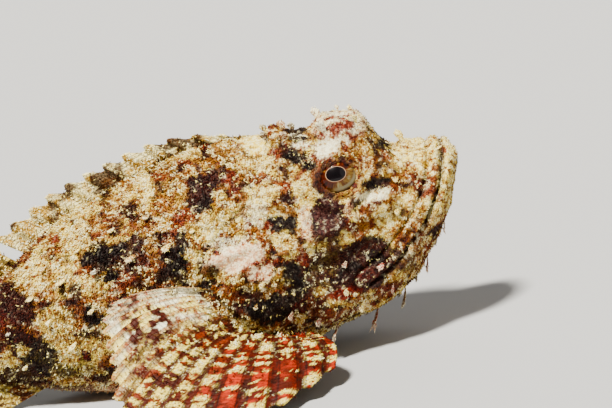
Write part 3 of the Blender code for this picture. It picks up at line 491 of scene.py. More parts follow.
# How far a patch's edge strays: lump size, push, and seed.
STRAYS = ((5.0, 2.0, 3), (1.8, 2.2, 5), (0.9, 1.8, 7))
GAP_TONE = (0.42, 0.26, 0.16)  # what is left of each colour in the gaps between papillae


def blend(first, second, share):
    """The place or colour at a share of the way from first to second. A colour may be named."""
    first, second = (np.asarray(TONE[end] if isinstance(end, str) else end, float) for end in (first, second))
    return first + (second - first) * np.asarray(share)[..., None]


def side_place(points):
    """How far behind the snout and up the side each point is, and how raggedly patch edges stray there."""
    behind = points[..., 0]
    up = points[..., 2] * math.cos(LOOK_DOWN) - np.abs(points[..., 1]) * math.sin(LOOK_DOWN)
    stray = [sum((noise(points, size, seed + axis) - 0.5) * push for size, push, seed in STRAYS)
             for axis in (0, 1)]
    return behind, up, *stray


def inside(place, at, level, long, tall):
    """1 inside a patch and 0 outside it. Small patches keep their shape best."""
    behind, up, stray_behind, stray_up = place
    ragged = min(min(long, tall) / 3.0, 1.0)
    across = (behind + stray_behind * ragged - at) / long
    return 1 - rise(np.hypot(across, (up + stray_up * ragged - level) / tall), 0.88, 1.1)


def growth(points):
    """How well papillae grow: 1 over most of the body, less on its smooth patches."""
    place = side_place(points)
    left = np.ones(points.shape[:-1])
    for *patch, kept in SMOOTH:
        left *= 1 - (1 - kept) * inside(place, *patch)
    return left


def markings(points):
    """Tint of the skin, with painted shade from a few patches, and the share of papillae that are pale, for
    signed body places.
    """
    place = side_place(points)
    tint = blend("tan", "cream", lumps(points, 7.0, 17, 0.35, 0.6))
    frost = 0.5 + 0.4 * lumps(points, 5.0, 18, 0.35, 0.6)
    blotches = ((lumps(points, *row[:4]), row[4:]) for row in BLOTCHES)
    patches = ((inside(place, *row[:4]), row[4:]) for row in PATCHES)
    for share, (tone, strength, frosted) in chain(blotches, patches):
        share = share * strength
        tint, frost = blend(tint, tone, share), frost + (frosted - frost) * share
    # Pale and dark papillae stand in clumps of about a millimetre, with dark gaps among them.
    left = growth(points)
    clump = lumps(points, 0.9, 22, 0.24, 0.76)
    frost = np.clip(0.5 + (0.9 * frost - 0.075 - clump * (0.35 + 0.65 * left)) * 2.8, 0.035, 1)
    gaps = lumps(points, 1.3, 23, 0.52, 0.62) * left
    tint, frost = blend(tint, tint * GAP_TONE, gaps * 0.85), frost * (1 - 0.5 * gaps)
    belly = 1 - rise(points[..., 2], 1.5, 9)
    return blend(tint, "pink", belly * 0.6), frost


# ---- Materials ----

FLESH_IOR = 1.38
CORNEA_IOR = 1.34
PALE_EDGE = 9.0  # how sharply papillae change from dark to pale


def add(tree, kind, inputs=None, **settings):
    """Adds a node with its settings, and sets or links its inputs."""
    made = tree.nodes.new(kind)
    for key, value in settings.items():
        setattr(made, key, value)
    for key, value in (inputs or {}).items():
        if isinstance(value, bpy.types.NodeSocket):
            tree.links.new(value, made.inputs[key])
        else:
            made.inputs[key].default_value = value
    return made


def rgba(colour):
    """A socket as it is, or the four values of a tone's name, of three values or of one grey."""
    if isinstance(colour, bpy.types.NodeSocket):
        return colour
    colour = TONE[colour] if isinstance(colour, str) else colour
    return (*(colour if hasattr(colour, "__len__") else (colour,) * 3), 1)


class Paint:
    """A new material, with short calls for the nodes that colour it."""

    def __init__(self, name, **shader_values):
        self.material = bpy.data.materials.new(name)
        self.material.use_nodes = True
        self.tree = self.material.node_tree
        self.shader = self.tree.nodes["Principled BSDF"]
        for key, value in shader_values.items():
            self.shader.inputs[key.replace("_", " ")].default_value = value

    def fact(self, key, output="Fac"):
        """What the mesh stores under that name."""
        return add(self.tree, "ShaderNodeAttribute", attribute_name=key).outputs[output]

    def tint(self):
        return self.fact("tint", "Color")

    def pattern(self, kind, size_mm, **values):
        """A texture whose lumps are about size_mm across."""
        place = add(self.tree, "ShaderNodeTexCoord").outputs["Object"]
        return add(self.tree, kind, {"Vector": place, "Scale": 1 / (size_mm * METRE), **values}).outputs

    def grain(self, size_mm, rough=0.6):
        return self.pattern("ShaderNodeTexNoise", size_mm, Detail=3.0, Roughness=rough)["Fac"]

    def ramp(self, fac, *stops):
        """A colour ramp through (place, colour) stops."""
        made = add(self.tree, "ShaderNodeValToRGB", {"Fac": fac})
        for number, (place, colour) in enumerate(stops):
            step = made.color_ramp.elements[number] if number < 2 else made.color_ramp.elements.new(place)
            step.position, step.color = place, rgba(colour)
        return made.outputs["Color"]

    def maths(self, first, second=0.0, how="MULTIPLY", **settings):
        return add(self.tree, "ShaderNodeMath", {0: first, 1: second}, operation=how, **settings).outputs[0]

    def both(self, first, second, how="MULTIPLY"):
        """Two ramps, multiplied or otherwise taken together."""
        return self.maths(self.ramp(*first), self.ramp(*second), how)

    def mix(self, share, first, second, how="MIX"):
        inputs = {0: share, 6: rgba(first), 7: rgba(second)}
        return add(self.tree, "ShaderNodeMix", inputs, data_type="RGBA", blend_type=how).outputs[2]

    def bump(self, height, strength, depth_mm, **more):
        inputs = {"Height": height, "Strength": strength, "Distance": depth_mm * METRE}
        if "below" in more:
            inputs["Normal"] = more.pop("below")
        return add(self.tree, "ShaderNodeBump", inputs, **more).outputs[0]

    def finish(self, colour, normal=None):
        self.tree.links.new(colour, self.shader.inputs["Base Color"])
        if normal is not None:
            self.tree.links.new(normal, self.shader.inputs["Normal"])
        return self.material


def skin_material():
    """Matt, mottled fish skin with granules and dark pores."""
    paint = Paint("living_fish_skin", Roughness=0.6, IOR=FLESH_IOR, Specular_IOR_Level=0.3)
    frost, fine, mottle = paint.fact("frost"), paint.grain(0.5), paint.grain(1.2, 0.65)
    # Where the papillae are pale the skin between them is tan, elsewhere it is rust.
    under = paint.mix(paint.ramp(frost, (0.35, 0.0), (0.8, 1.0)), "rust", "tan")
    mottled = paint.both((mottle, (0.40, 1.0), (0.52, 0.0)), (frost, (0.85, 1.0), (1.0, 0.3)))
    shaded = paint.mix(mottled, paint.tint(), under, "MULTIPLY")
    grains = paint.maths(paint.ramp(mottle, (0.47, 0.0), (0.56, 0.6)), frost)
    pores = paint.both((fine, (0.38, 0.9), (0.46, 0.0)), (frost, (0.3, 1.0), (0.9, 0.25)))
    colour = paint.mix(pores, paint.mix(grains, shaded, "white"), "brown", "MULTIPLY")
    granules = paint.pattern("ShaderNodeTexVoronoi", 0.8)["Distance"]
    return paint.finish(colour, paint.bump(fine, 0.8, 0.4, below=paint.bump(granules, 0.7, 0.4, invert=True)))


def papilla_material():
    """Soft skin papillae: pale at the tips where the skin is frosted, else the colour of the skin."""
    paint = Paint("soft_skin_papillae", Roughness=0.6, IOR=FLESH_IOR, Specular_IOR_Level=0.2)
    frost, chance, other, along = (paint.fact(key) for key in ("frost", "chance", "other_chance", "along"))
    # A papilla is pale where its own chance is less than the frosting of the skin below it.
    less = paint.maths(frost, chance, "SUBTRACT")
    picked = paint.maths(less, PALE_EDGE, use_clamp=True)
    share = paint.maths(picked, paint.ramp(along, (0.0, 0.1), (0.4, 1.0)))
    golden = paint.both((other, (0.0, 0.85), (0.65, 0.1)), (frost, (0.3, 0.75), (0.9, 0.0)), "MAXIMUM")
    pale = paint.mix(golden, "white", "cream")
    # Darker papillae are tan among pale ones and nearly black among dark ones.
    deep = paint.mix(paint.ramp(frost, (0.3, 0.0), (0.9, 0.65)), "rust", "tan")
    own = paint.mix(paint.ramp(other, (0.0, 0.9), (0.6, 0.0)), paint.tint(), deep, "MULTIPLY")
    rooted = paint.mix(paint.ramp(along, (0.0, 0.85), (0.4, 0.0)), own, "rust", "MULTIPLY")
    return paint.finish(paint.mix(share, rooted, pale))


def fin_material():
    """Fin skin: thin membrane over jointed rays, with a fine dark line at each joint and painted shade down
    each ray's sides.
    """
    paint = Paint("jointed_fin_skin", Roughness=0.55, IOR=FLESH_IOR, Specular_IOR_Level=0.2)
    fine = paint.grain(0.6)
    # X counts joints along the ray, Y is 1 on a ray and 0 on the membrane, and Z is the joints' strength.
    ray = add(paint.tree, "ShaderNodeSeparateXYZ", {"Vector": paint.fact("ray_place", "Vector")}).outputs
    joint = paint.ramp(paint.maths(ray["X"], how="FRACT"), (0.0, 1.0), (0.22, 0.0))
    lined = paint.maths(joint, ray["Z"])
    # Painted shade: a dark band down each side of a ray, where it falls away to the membrane.
    edge = paint.ramp(ray["Y"], (0.12, 0.0), (0.4, 0.75), (0.75, 0.0))
    flecked = paint.maths(paint.ramp(fine, (0.54, 0.0), (0.66, 0.5)), paint.fact("frost"))
    pale = paint.mix(flecked, paint.tint(), "white")
    dark = paint.mix(paint.ramp(fine, (0.34, 0.8), (0.44, 0.0)), pale, "brown")
    jointed = paint.mix(lined, paint.mix(edge, dark, "brown", "MULTIPLY"), "brown")
    return paint.finish(jointed, paint.bump(fine, 0.6, 0.3, below=paint.bump(joint, 0.8, 0.3, invert=True)))


def eye_material():
    """A living eye: black pupil, thin pale ring and streaked iris under a wet, clear cornea."""
    paint = Paint("wet_eye", Roughness=0.3, IOR=CORNEA_IOR, Specular_IOR_Level=0.1, Coat_Weight=0.7,
                  Coat_Roughness=0.03, Coat_IOR=CORNEA_IOR)
    ring, lower, spoke = paint.fact("ring"), paint.fact("lower"), paint.fact("spoke", "Vector")
    streaks = add(paint.tree, "ShaderNodeTexNoise", {
        "Vector": spoke, "Scale": 1.0, "Detail": 3.0, "Roughness": 0.65}).outputs["Fac"]
    above = paint.ramp(streaks, (0.40, "dark"), (0.50, "brown"), (0.56, TONE["rust"] * 0.5),
                       (0.66, TONE["tan"] * 0.6))
    below = paint.ramp(streaks, (0.36, "brown"), (0.46, TONE["ochre"] * 0.22), (0.56, TONE["tan"] * 0.32),
                       (0.66, TONE["grey"] * 0.32))
    iris = paint.mix(paint.ramp(lower, (0.40, 0.0), (0.62, 1.0)), above, below)
    shaded = paint.mix(paint.ramp(ring, (0.22, 0.75), (0.29, 0.0)), iris, "brown")
    # A pale crescent lies round the lower rim of the iris.
    rim = paint.both((ring, (0.36, 0.0), (0.40, 1.0), (0.45, 1.0), (0.49, 0.2)),
                     (lower, (0.55, 0.0), (0.75, 0.8)))
    rimmed = paint.mix(rim, shaded, TONE["grey"] * 0.42)
    edged = paint.mix(paint.ramp(ring, (0.47, 0.0), (0.52, 0.9)), rimmed, "dark")
    pupil = paint.ramp(ring, (0.0, (0.002, 0.0015, 0.002)), (0.196, (0.004, 0.002, 0.003)),
                       (0.203, linear("c4a284")), (0.210, linear("6e4018")))
    return paint.finish(paint.mix(paint.ramp(ring, (0.21, 0.0), (0.225, 1.0)), pupil, edged))


def spine_material():
    """Bone spines in a thin sheath of skin: skin-coloured at the root, ivory at the tip."""
    paint = Paint("sheathed_bone", Roughness=0.5, IOR=1.5, Specular_IOR_Level=0.3)
    speckles = paint.ramp(paint.grain(0.6), (0.4, 0.9), (0.55, 0.0))
    speckled = paint.mix(speckles, paint.tint(), "rust", "MULTIPLY")
    return paint.finish(paint.mix(paint.ramp(paint.fact("along"), (0.6, 0.0), (1.0, 0.8)), speckled, "white"))


def flap_material():
    """Fringed skin flaps, coloured as the skin at their root and paler at the fringe."""
    paint = Paint("fringed_skin_flaps", Roughness=0.5, IOR=FLESH_IOR)
    fine = paint.grain(0.5, 0.65)
    speckled = paint.mix(paint.ramp(fine, (0.5, 0.0), (0.6, 0.8)), paint.tint(), "white")
    dark = paint.mix(paint.ramp(fine, (0.40, 0.9), (0.49, 0.0)), speckled, "rust", "MULTIPLY")
    return paint.finish(paint.mix(paint.ramp(paint.fact("along"), (0.6, 0.0), (1.0, 0.35)), dark, "white"))


SKIN, PAPILLA, FIN = skin_material(), papilla_material(), fin_material()
WET_EYE, BONE, FLAP = eye_material(), spine_material(), flap_material()


def dress(thing, material):
    """Gives the whole piece one material."""
    thing.data.materials.clear()
    thing.data.materials.append(material)


def ride(thing, slot, *nodes):
    """Fixes a piece to the body and hides the nodes it stands for. The slot is not used."""
    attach(thing, "root")
    if nodes:
        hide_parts(*nodes)


# ---- The skin ----

COAT_DEPTH = 0.35  # the skin lies this far inside the solids, to leave room for papillae
HALF_RING = 170  # steps from belly to back
BODY_SIDE = 9  # the eyes lie further out than this
# Lumps over the whole skin: size, seed, and height on the body and added on the head.
LUMPS = ((7.0, 31, 0.7, 0.6), (3.2, 32, 0.45, 0.35), (1.5, 33, 0.4, 0.0))
# Lips: line, height, distance and width of the swellings beside it, and its groove's depth and width.
LIPS = ((MOUTH, 0.8, 1.7, 1.1, 1.9, 0.55), (LIP_REAR, 0.5, 1.4, 1.0, 1.0, 0.6))


def stations():
    """Places of the skin's rings, closest on the head."""
    snout = 0.05 + 12 * np.linspace(0, 1, 40) ** 1.6
    return np.concatenate([snout, np.arange(12.6, 86, 0.6), np.arange(86.8, BODY_LENGTH, 0.95)])


def folds(points, out):
    """How far small folds, creases and lumps move the skin outwards, in millimetres."""
    head = 1 - rise(points[..., 0], 70, 95)
    side = rise(out, 6, 11)
    moved = sum((noise(points, size, seed) - 0.5) * (high + more * head) for size, seed, high, more in LUMPS)
    lumpy = 0.5 + noise(points, 2.6, 34)
    for line, high, apart, wide, deep, narrow in LIPS:
        far = beside(points, line)
        moved += lumpy * high * bell(np.abs(far) - apart, wide) - deep * bell(far, narrow)
    # Gill cover and cheek plate end in a raised edge with a dip behind it.
    below_nape = 1 - rise(points[..., 2], 50, 62)
    for line, high, slope, deep, fade, shown in ((GILL_SLIT, 1.1, 3.0, 1.3, 1.6, below_nape),
                                                 (PREOPERCLE, 0.8, 2.0, 0.6, 1.2, 1.0)):
        far = beside(points, line)
        raised = high * np.exp(-np.abs(np.minimum(far, 0)) / slope) * (far < 0)
        moved += (raised - deep * np.exp(-far / fade) * (far >= 0)) * side * shown
    return moved * rise(points[..., 0], -1, 3)


# The eye's opening: its middle ahead of and above the eyeball's, and its half sizes (mm).
OPENING = {"ahead": 0.3, "above": 0.6, "long": 5.6, "tall": 4.2}
LID_THICK = 0.6
LID_BLEND = 3.0
SOCKET_DEPTH = 1.2  # how far the skin lies behind the eyeball's surface


def eye_opening(points):
    """Places across and above the middle of the eye's opening, in units of its half sizes."""
    across = (points[..., 0] - EYE["behind"] + OPENING["ahead"]) / OPENING["long"]
    return across, (points[..., 2] - EYE["up"] - OPENING["above"]) / OPENING["tall"]


def seat_eye(points):
    """Draws the skin in behind the eyeball, and lays the lids over the rest of it."""
    made = points.copy()
    far = np.hypot(*eye_opening(points))
    from_middle = np.hypot(points[..., 0] - EYE["behind"], points[..., 2] - EYE["up"])
    ball, lids = (EYE["out"] + np.sqrt(np.clip(radius ** 2 - from_middle ** 2, 0, None))
                  for radius in (EYE["radius"], EYE["radius"] + LID_THICK))
    lids = lids - 1.6 * np.clip(far - 1.2, 0, 2) - 0.35 * bell(far - 1.32, 0.09)
    out = np.abs(points[..., 1])
    near = (out > BODY_SIDE) & (from_middle < EYE["radius"] + LID_THICK)
    # Over the ball the skin takes the further out of skin and lid, with a smooth change between them.
    over = out + np.log1p(np.exp(np.clip((lids - out) * LID_BLEND, -30, 30))) / LID_BLEND
    hidden = 1 - rise(far, 0.9, 1.02)
    target = np.where(near, np.minimum(out, ball - SOCKET_DEPTH) * hidden + over * (1 - hidden), out)
    made[..., 1] = np.sign(points[..., 1]) * target
    return made


def skin_grid():
    """Rings of skin points, from the belly up the left side and down the right, in body places."""
    turns = np.linspace(math.pi, 0, HALF_RING + 1)
    left = skin_at(stations()[:, None], turns[None, :], {**FORMS, **FINE_FORMS})
    right = mirrored(left[:, -2:0:-1], -1)
    return np.concatenate([left, right], axis=1)


def straight_out(grid):
    """Unit directions out of a closed grid of rings."""
    across = np.roll(grid, -1, axis=1) - np.roll(grid, 1, axis=1)
    straight = unit(np.cross(np.gradient(grid, axis=0), across))
    return straight * np.sign((straight[..., 1] * grid[..., 1]).mean())


def make_skin():
    """The skin's world grid, and what grows where on it."""
    plain = skin_grid()
    lift = folds(plain, np.abs(plain[..., 1])) - COAT_DEPTH
    on_floor = 1 - rise(plain[..., 2], 0.5, 4)
    grid = seat_eye(plain + straight_out(plain) * (lift * (1 - on_floor))[..., None])
    rings, around = grid.shape[:2]
    tint, frost = markings(plain)
    along, above = eye_opening(plain)
    from_eye = np.hypot(along, above)
    on_side = np.abs(plain[..., 1]) > BODY_SIDE
    near_eye = on_side * (1 - rise(from_eye, 1.25, 1.55))
    golden = rise((-0.8 * along - 0.6 * above) / np.maximum(from_eye, 0.1), 0.1, 0.6)
    lid = blend(blend("brown", "tan", golden), "dark", lumps(plain, 0.9, 43, 0.55, 0.7) * 0.7)
    tint, frost = blend(tint, lid, near_eye * 0.9), frost * (1 - near_eye * (1 - 0.5 * golden))
    # Painted shade: a dark line along the closed mouth's slit, where papillae are left out.
    mouth = bell(beside(plain, MOUTH), 0.9)
    tint = blend(tint, TONE["maroon"] * 0.5, mouth * 0.85)
    # Painted shade: a dark line in the gill slit just behind the gill cover's edge, on the side below the
    # nape, where papillae are left out.
    gill_slit_shade = bell(beside(plain, GILL_SLIT) - 0.4, 0.7)
    gill_slit_shade = gill_slit_shade * (1 - rise(plain[..., 2], 50, 60)) * rise(np.abs(plain[..., 1]), 6, 11)
    tint = blend(tint, "dark", gill_slit_shade * 0.8)
    left = growth(plain)
    cover = (1 - mouth) * (1 - gill_slit_shade) * (1 - on_side * (1 - rise(from_eye, 1.25, 1.5)))
    cover = cover * rise(plain[..., 2], 1.0, 5.0) * (0.25 + 0.75 * left)
    reach = 0.82 + 0.34 * rise(plain[..., 0], 50, 80)
    reach = reach * (0.75 + 0.5 * noise(plain, 4.0, 41)) * (0.45 + 0.55 * left)
    world = placed(grid)
    lie = unit(placed(grid + (1.0, 0, -0.45)) - world)
    row, column = np.meshgrid(np.linspace(0, 0.98, rings), np.arange(around) / around * 0.98, indexing="ij")
    return world, {"tint": tint, "frost": frost, "cover": cover, "reach": reach, "lie": lie,
                   "root_place": columns(row, column, 0 * row)}


def ring_faces(rings, around, closed=True):
    """Quads between neighbouring rings."""
    quads = around if closed else around - 1
    row, column = np.meshgrid(np.arange(rings - 1), np.arange(quads), indexing="ij")
    after = (column + 1) % around
    a, b = row * around + column, row * around + after
    return np.stack([a, b, b + around, a + around], axis=-1).reshape(-1, 4)


def flat_facts(facts, rows=slice(None)):
    """Facts given on a grid, as plain lists for its points."""
    return {k: v[rows].reshape(-1, v.shape[-1]) if v.ndim == 3 else v[rows].ravel() for k, v in facts.items()}


def build_skin(world, facts):
    """The one skin that replaces the flesh nodes."""
    rings, around = world.shape[:2]
    snout = world[0].mean(axis=0)
    tail = world[-1].mean(axis=0) - (0.001, 0, 0)
    points = np.concatenate([world.reshape(-1, 3), [snout, tail]])
    given = {k: flat_facts(facts)[k] for k in ("tint", "frost")}
    ends = {k: np.concatenate([v, v[[0]], v[[-1]]]) for k, v in given.items()}
    first = np.arange(around)
    after = (first + 1) % around
    end = (rings - 1) * around
    caps = np.concatenate([
        np.stack([after, first, np.full(around, len(points) - 2)], axis=1),
        np.stack([end + first, end + after, np.full(around, len(points) - 1)], axis=1),
    ])
    thing = solid("body_skin", points, [ring_faces(rings, around), caps], ends)
    shape = bmesh.new()
    shape.from_mesh(thing.data)
    if shape.calc_volume(signed=True) < 0:
        bmesh.ops.reverse_faces(shape, faces=shape.faces)
        shape.to_mesh(thing.data)
    shape.free()
    dress(thing, SKIN)
    flesh = ("head", "upper_jaw", "lower_jaw", "gill_cover_left", "gill_cover_right", "trunk", "tail_stalk")
    ride(thing, "trunk_skin", *flesh)


# ---- Papillae, grown over skin and fins by one node tree ----

# A leaf has a root ring and a wider ring of three points each, and a tip. Each ring's place along the leaf,
# and its shares of the leaf's width across and through it:
LEAF_RINGS = ((-0.15, 0.32, 0.26), (0.5, 0.5, 0.2))
LEAF_FACES = np.array((
    (2, 1, 0), (0, 1, 4), (0, 4, 3), (1, 2, 5), (1, 5, 4), (2, 0, 3), (2, 3, 5),
    (3, 4, 6), (4, 5, 6), (5, 3, 6),
))
LEAF_PATCH = np.array((
    (0.1, 0, 0), (0.5, 0, 0), (0.9, 0, 0), (0.1, 0.5, 0), (0.5, 0.55, 0), (0.9, 0.5, 0), (0.5, 1, 0),
))
LEAF_ALONG = np.array((0, 0, 0, 0.5, 0.5, 0.5, 1.0))
# Each papilla's leaves: turn, lean, length and width (mm), for a papilla of reach 1.
TUFTS = (
    ((0.2, 0.5, 1.5, 0.62), (2.4, 0.8, 1.1, 0.5)),
    ((1.0, 0.4, 1.3, 0.6), (3.2, 0.9, 1.0, 0.55), (5.2, 0.8, 1.1, 0.5)),
    ((0.0, 0.7, 1.7, 0.55),),
    ((0.5, 1.0, 1.0, 0.62), (2.1, 0.9, 0.9, 0.6), (4.0, 1.0, 0.95, 0.6)),
    ((0.3, 0.3, 1.1, 0.8), (3.4, 0.9, 0.8, 0.6)),
)
PATCH_SPREAD = 0.003  # how much of the unwrap one papilla takes
FULLEST = 0.95e6  # papillae on a square metre at a spacing of one millimetre
BODY_COAT = {"size": 0.7, "lean": 0.9}
# Stretches of the body that each take one coat: first and last ring place, finish, and spacing.
COAT_STRETCHES = (
    ("snout", -1, 20, "upper_jaw_skin", 0.44), ("brow", 20, 33, "head_skin", 0.44),
    ("crest", 33, 45, "head_skin", 0.44), ("cheek", 45, 58, "head_skin", 0.46),
    ("gill", 58, 74, "gill_cover_right_skin", 0.47), ("shoulder", 74, 92, "trunk_skin", 0.49),
    ("flank", 92, 114, "trunk_skin", 0.51), ("rear_flank", 114, 146, "trunk_skin", 0.54),
    ("stalk", 146, 191, "tail_stalk_skin", 0.57),
)


def leaf(turn, lean, length, width):
    """One soft leaf, bent over towards its turn."""
    way = np.array((math.cos(turn), math.sin(turn), 0))
    flat = np.array((-math.sin(turn), math.cos(turn), 0))
    up = np.array((0, 0, 1.0))
    rings = []
    for share, wide, deep in LEAF_RINGS:
        rise_by = up * math.cos(lean * max(share, 0)) * share * length
        bent = way * math.sin(lean) * share ** 2 * length + rise_by
        for angle in (math.pi / 6, math.pi * 5 / 6, math.pi * 3 / 2):
            rings.append(bent + (flat * math.cos(angle) * wide + way * math.sin(angle) * deep) * width)
    rings.append(way * math.sin(lean) * length + up * math.cos(lean) * length)
    return np.array(rings)


def tuft_collection():
    """The few shapes of papilla that the tree picks from."""
    group = bpy.data.collections.new("papilla shapes")
    for number, leaves in enumerate(TUFTS):
        count = len(leaves)
        points = np.concatenate([leaf(*sizes) for sizes in leaves]) * METRE
        faces = np.concatenate([LEAF_FACES + len(LEAF_ALONG) * i for i in range(count)])
        patch = np.concatenate([(LEAF_PATCH + (i, 0, 0)) / (count, 1, 1) for i in range(count)])
        facts = {"patch": patch, "along": np.tile(LEAF_ALONG, count)}
        solid(f"papilla_{number}", points, [faces], facts, group)
    return group


def papilla_tree():
    """Scatters papillae where cover is high, leaning along lie, each with its own place on the unwrap."""
    tree = bpy.data.node_groups.new("papillae on skin", "GeometryNodeTree")
    sockets = {"Skin": "Geometry", "Shapes": "Collection", "Spacing": "Float", "Most": "Float",
               "Size": "Float", "Lean": "Float", "Seed": "Int"}
    for label, kind in sockets.items():
        tree.interface.new_socket(label, in_out="INPUT", socket_type=f"NodeSocket{kind}")
    tree.interface.new_socket("Papillae", in_out="OUTPUT", socket_type="NodeSocketGeometry")
    given = add(tree, "NodeGroupInput").outputs

    def named(key, kind="FLOAT"):
        made = add(tree, "GeometryNodeInputNamedAttribute", {"Name": key}, data_type=kind)
        return next(s for s in made.outputs if s.enabled and s.name == "Attribute")

    def chance(low, high, offset, kind="FLOAT"):
        first, made_at = {"FLOAT": (2, 1), "INT": (4, 2)}[kind]
        seed = add(tree, "FunctionNodeIntegerMath", {0: given["Seed"], 1: offset}, operation="ADD").outputs[0]
        inputs = {first: low, first + 1: high, "Seed": seed}
        return add(tree, "FunctionNodeRandomValue", inputs, data_type=kind).outputs[made_at]

    def store(shape, key, value, kind="FLOAT", domain="POINT"):
        inputs = {"Geometry": shape, "Name": key, "Value": value}
        return add(tree, "GeometryNodeStoreNamedAttribute", inputs, data_type=kind, domain=domain).outputs[0]

    def times(first, second):
        return add(tree, "ShaderNodeMath", {0: first, 1: second}, operation="MULTIPLY").outputs[0]

    def scaled(vector, scale):
        return add(tree, "ShaderNodeVectorMath", {0: vector, "Scale": scale}, operation="SCALE").outputs[0]

    def summed(first, second):
        return add(tree, "ShaderNodeVectorMath", {0: first, 1: second}, operation="ADD").outputs[0]

    scatter = add(tree, "GeometryNodeDistributePointsOnFaces", {
        "Mesh": given["Skin"], "Distance Min": given["Spacing"], "Density Max": given["Most"],
        "Density Factor": named("cover"), "Seed": given["Seed"],
    }, distribute_method="POISSON")
    marked = store(scatter.outputs["Points"], "chance", chance(0.0, 1.0, 1))
    marked = store(marked, "other_chance", chance(0.0, 1.0, 5))
    way = summed(scatter.outputs["Normal"], scaled(named("lie", "FLOAT_VECTOR"), given["Lean"]))
    upright = add(tree, "FunctionNodeAlignRotationToVector", {"Vector": way}, axis="Z").outputs[0]
    turn = {"Axis": (0, 0, 1), "Angle": chance(0.0, 6.283, 2)}
    spin = add(tree, "FunctionNodeAxisAngleToRotation", turn).outputs[0]
    turned = add(tree, "FunctionNodeRotateRotation", {"Rotation": upright, "Rotate By": spin},
                 rotation_space="LOCAL").outputs[0]
    shapes = add(tree, "GeometryNodeCollectionInfo", {
        "Collection": given["Shapes"], "Separate Children": True, "Reset Children": True,
    }, transform_space="ORIGINAL").outputs[0]
    grown = add(tree, "GeometryNodeInstanceOnPoints", {
        "Points": marked, "Instance": shapes, "Pick Instance": True,
        "Instance Index": chance(0, len(TUFTS) - 1, 4, "INT"), "Rotation": turned,
        "Scale": times(times(chance(0.7, 1.25, 3), named("reach")), given["Size"]),
    })
    real = add(tree, "GeometryNodeRealizeInstances", {"Geometry": grown.outputs[0]}).outputs[0]
    unwrap = summed(named("root_place", "FLOAT_VECTOR"), scaled(named("patch", "FLOAT_VECTOR"), PATCH_SPREAD))
    mapped = store(real, "OFBake", unwrap, "FLOAT2", "CORNER")
    finished = add(tree, "GeometryNodeSetMaterial", {"Geometry": mapped, "Material": PAPILLA}).outputs[0]
    tree.links.new(finished, add(tree, "NodeGroupOutput").inputs[0])
    return tree


SHAPES, TREE = tuft_collection(), papilla_tree()


def show(name, data):
    """Puts a mesh, light or camera into the scene as an object."""
    thing = bpy.data.objects.new(name, data)
    bpy.context.scene.collection.objects.link(thing)
    return thing


def grow_papillae(name, points, quads, facts, slot, seed, spacing, size, lean):
    """Grows papillae on a sheet of skin, as one plain mesh."""
    bed = solid(name + "_bed", points, [quads], facts)
    grown = bed.modifiers.new("papillae", "NODES")
    grown.node_group = TREE
    values = {"Shapes": SHAPES, "Spacing": spacing * METRE, "Most": FULLEST / spacing ** 2, "Size": size,
              "Lean": lean, "Seed": seed}
    for socket in TREE.interface.items_tree:
        if socket.in_out == "INPUT" and socket.name in values:
            grown[socket.identifier] = values[socket.name]
    bpy.context.view_layer.update()
    mesh = bpy.data.meshes.new_from_object(bed.evaluated_get(bpy.context.evaluated_depsgraph_get()))
    bpy.data.objects.remove(bed)
    mesh.shade_smooth()
    thing = show(name, mesh)
    dress(thing, PAPILLA)
    ride(thing, slot)


def build_coat(world, facts):
    """One piece of papillae for each stretch of the body."""
    places = stations()
    around = world.shape[1]
    for number, (name, first, last, slot, spacing) in enumerate(COAT_STRETCHES):
        rows = np.flatnonzero((places >= first) & (places < last))
        rows = slice(rows[0], min(rows[-1] + 2, len(places)))
        strip = world[rows]
        quads = ring_faces(len(strip), around)[:, ::-1]
        # The quads that close each ring are left out, because the unwrap has its seam there.
        quads = quads[(quads.max(axis=1) - quads.min(axis=1)) < 2 * around - 2]
        grow_papillae(f"papillae_{name}", strip.reshape(-1, 3), quads, flat_facts(facts, rows), slot,
                      50 + number * 10, spacing, **BODY_COAT)


# ---- Fins ----

PECTORAL_HEADING = ((0, 9), (0.12, 14), (0.3, 28), (0.6, 54), (0.8, 80), (1, 112))
PECTORAL_RISE = ((0, 8), (0.15, 4.5), (0.3, -2), (0.6, -13), (0.8, -9.5), (1, -1))
PECTORAL_LENGTH = ((0, 35), (0.12, 40), (0.3, 46), (0.6, 62), (0.8, 57), (1, 40))
SPINE_HEIGHT = ((0, 2.2), (0.1, 3.6), (0.25, 4.8), (0.7, 4.8), (0.92, 4.4), (1, 5.0))
GAP_STEPS = 12  # steps from one ray to the next
THINNEST = 0.16  # half the thickness of a fin's edge
JOINT_LENGTH = 1.35
FIN_COAT = {"spacing": 0.72, "size": 0.85, "lean": 0.9}
# Each fin's rays, rows along a ray, notch between tips, ray and membrane thickness (mm), and if it swings.
FINS = {
    "pectoral_fin": (17, 112, 0.05, 2.3, 0.5, False),
    "pelvic_fin": (6, 44, 0.05, 1.5, 0.5, False),
    "dorsal_fin_spiny": (12, 20, 0.20, 1.9, 0.55, True),
    "dorsal_fin_soft": (9, 26, 0.05, 1.3, 0.5, True),
    "anal_fin": (8, 30, 0.05, 1.3, 0.5, True),
    "caudal_fin": (13, 60, 0.04, 1.6, 0.55, True),
}


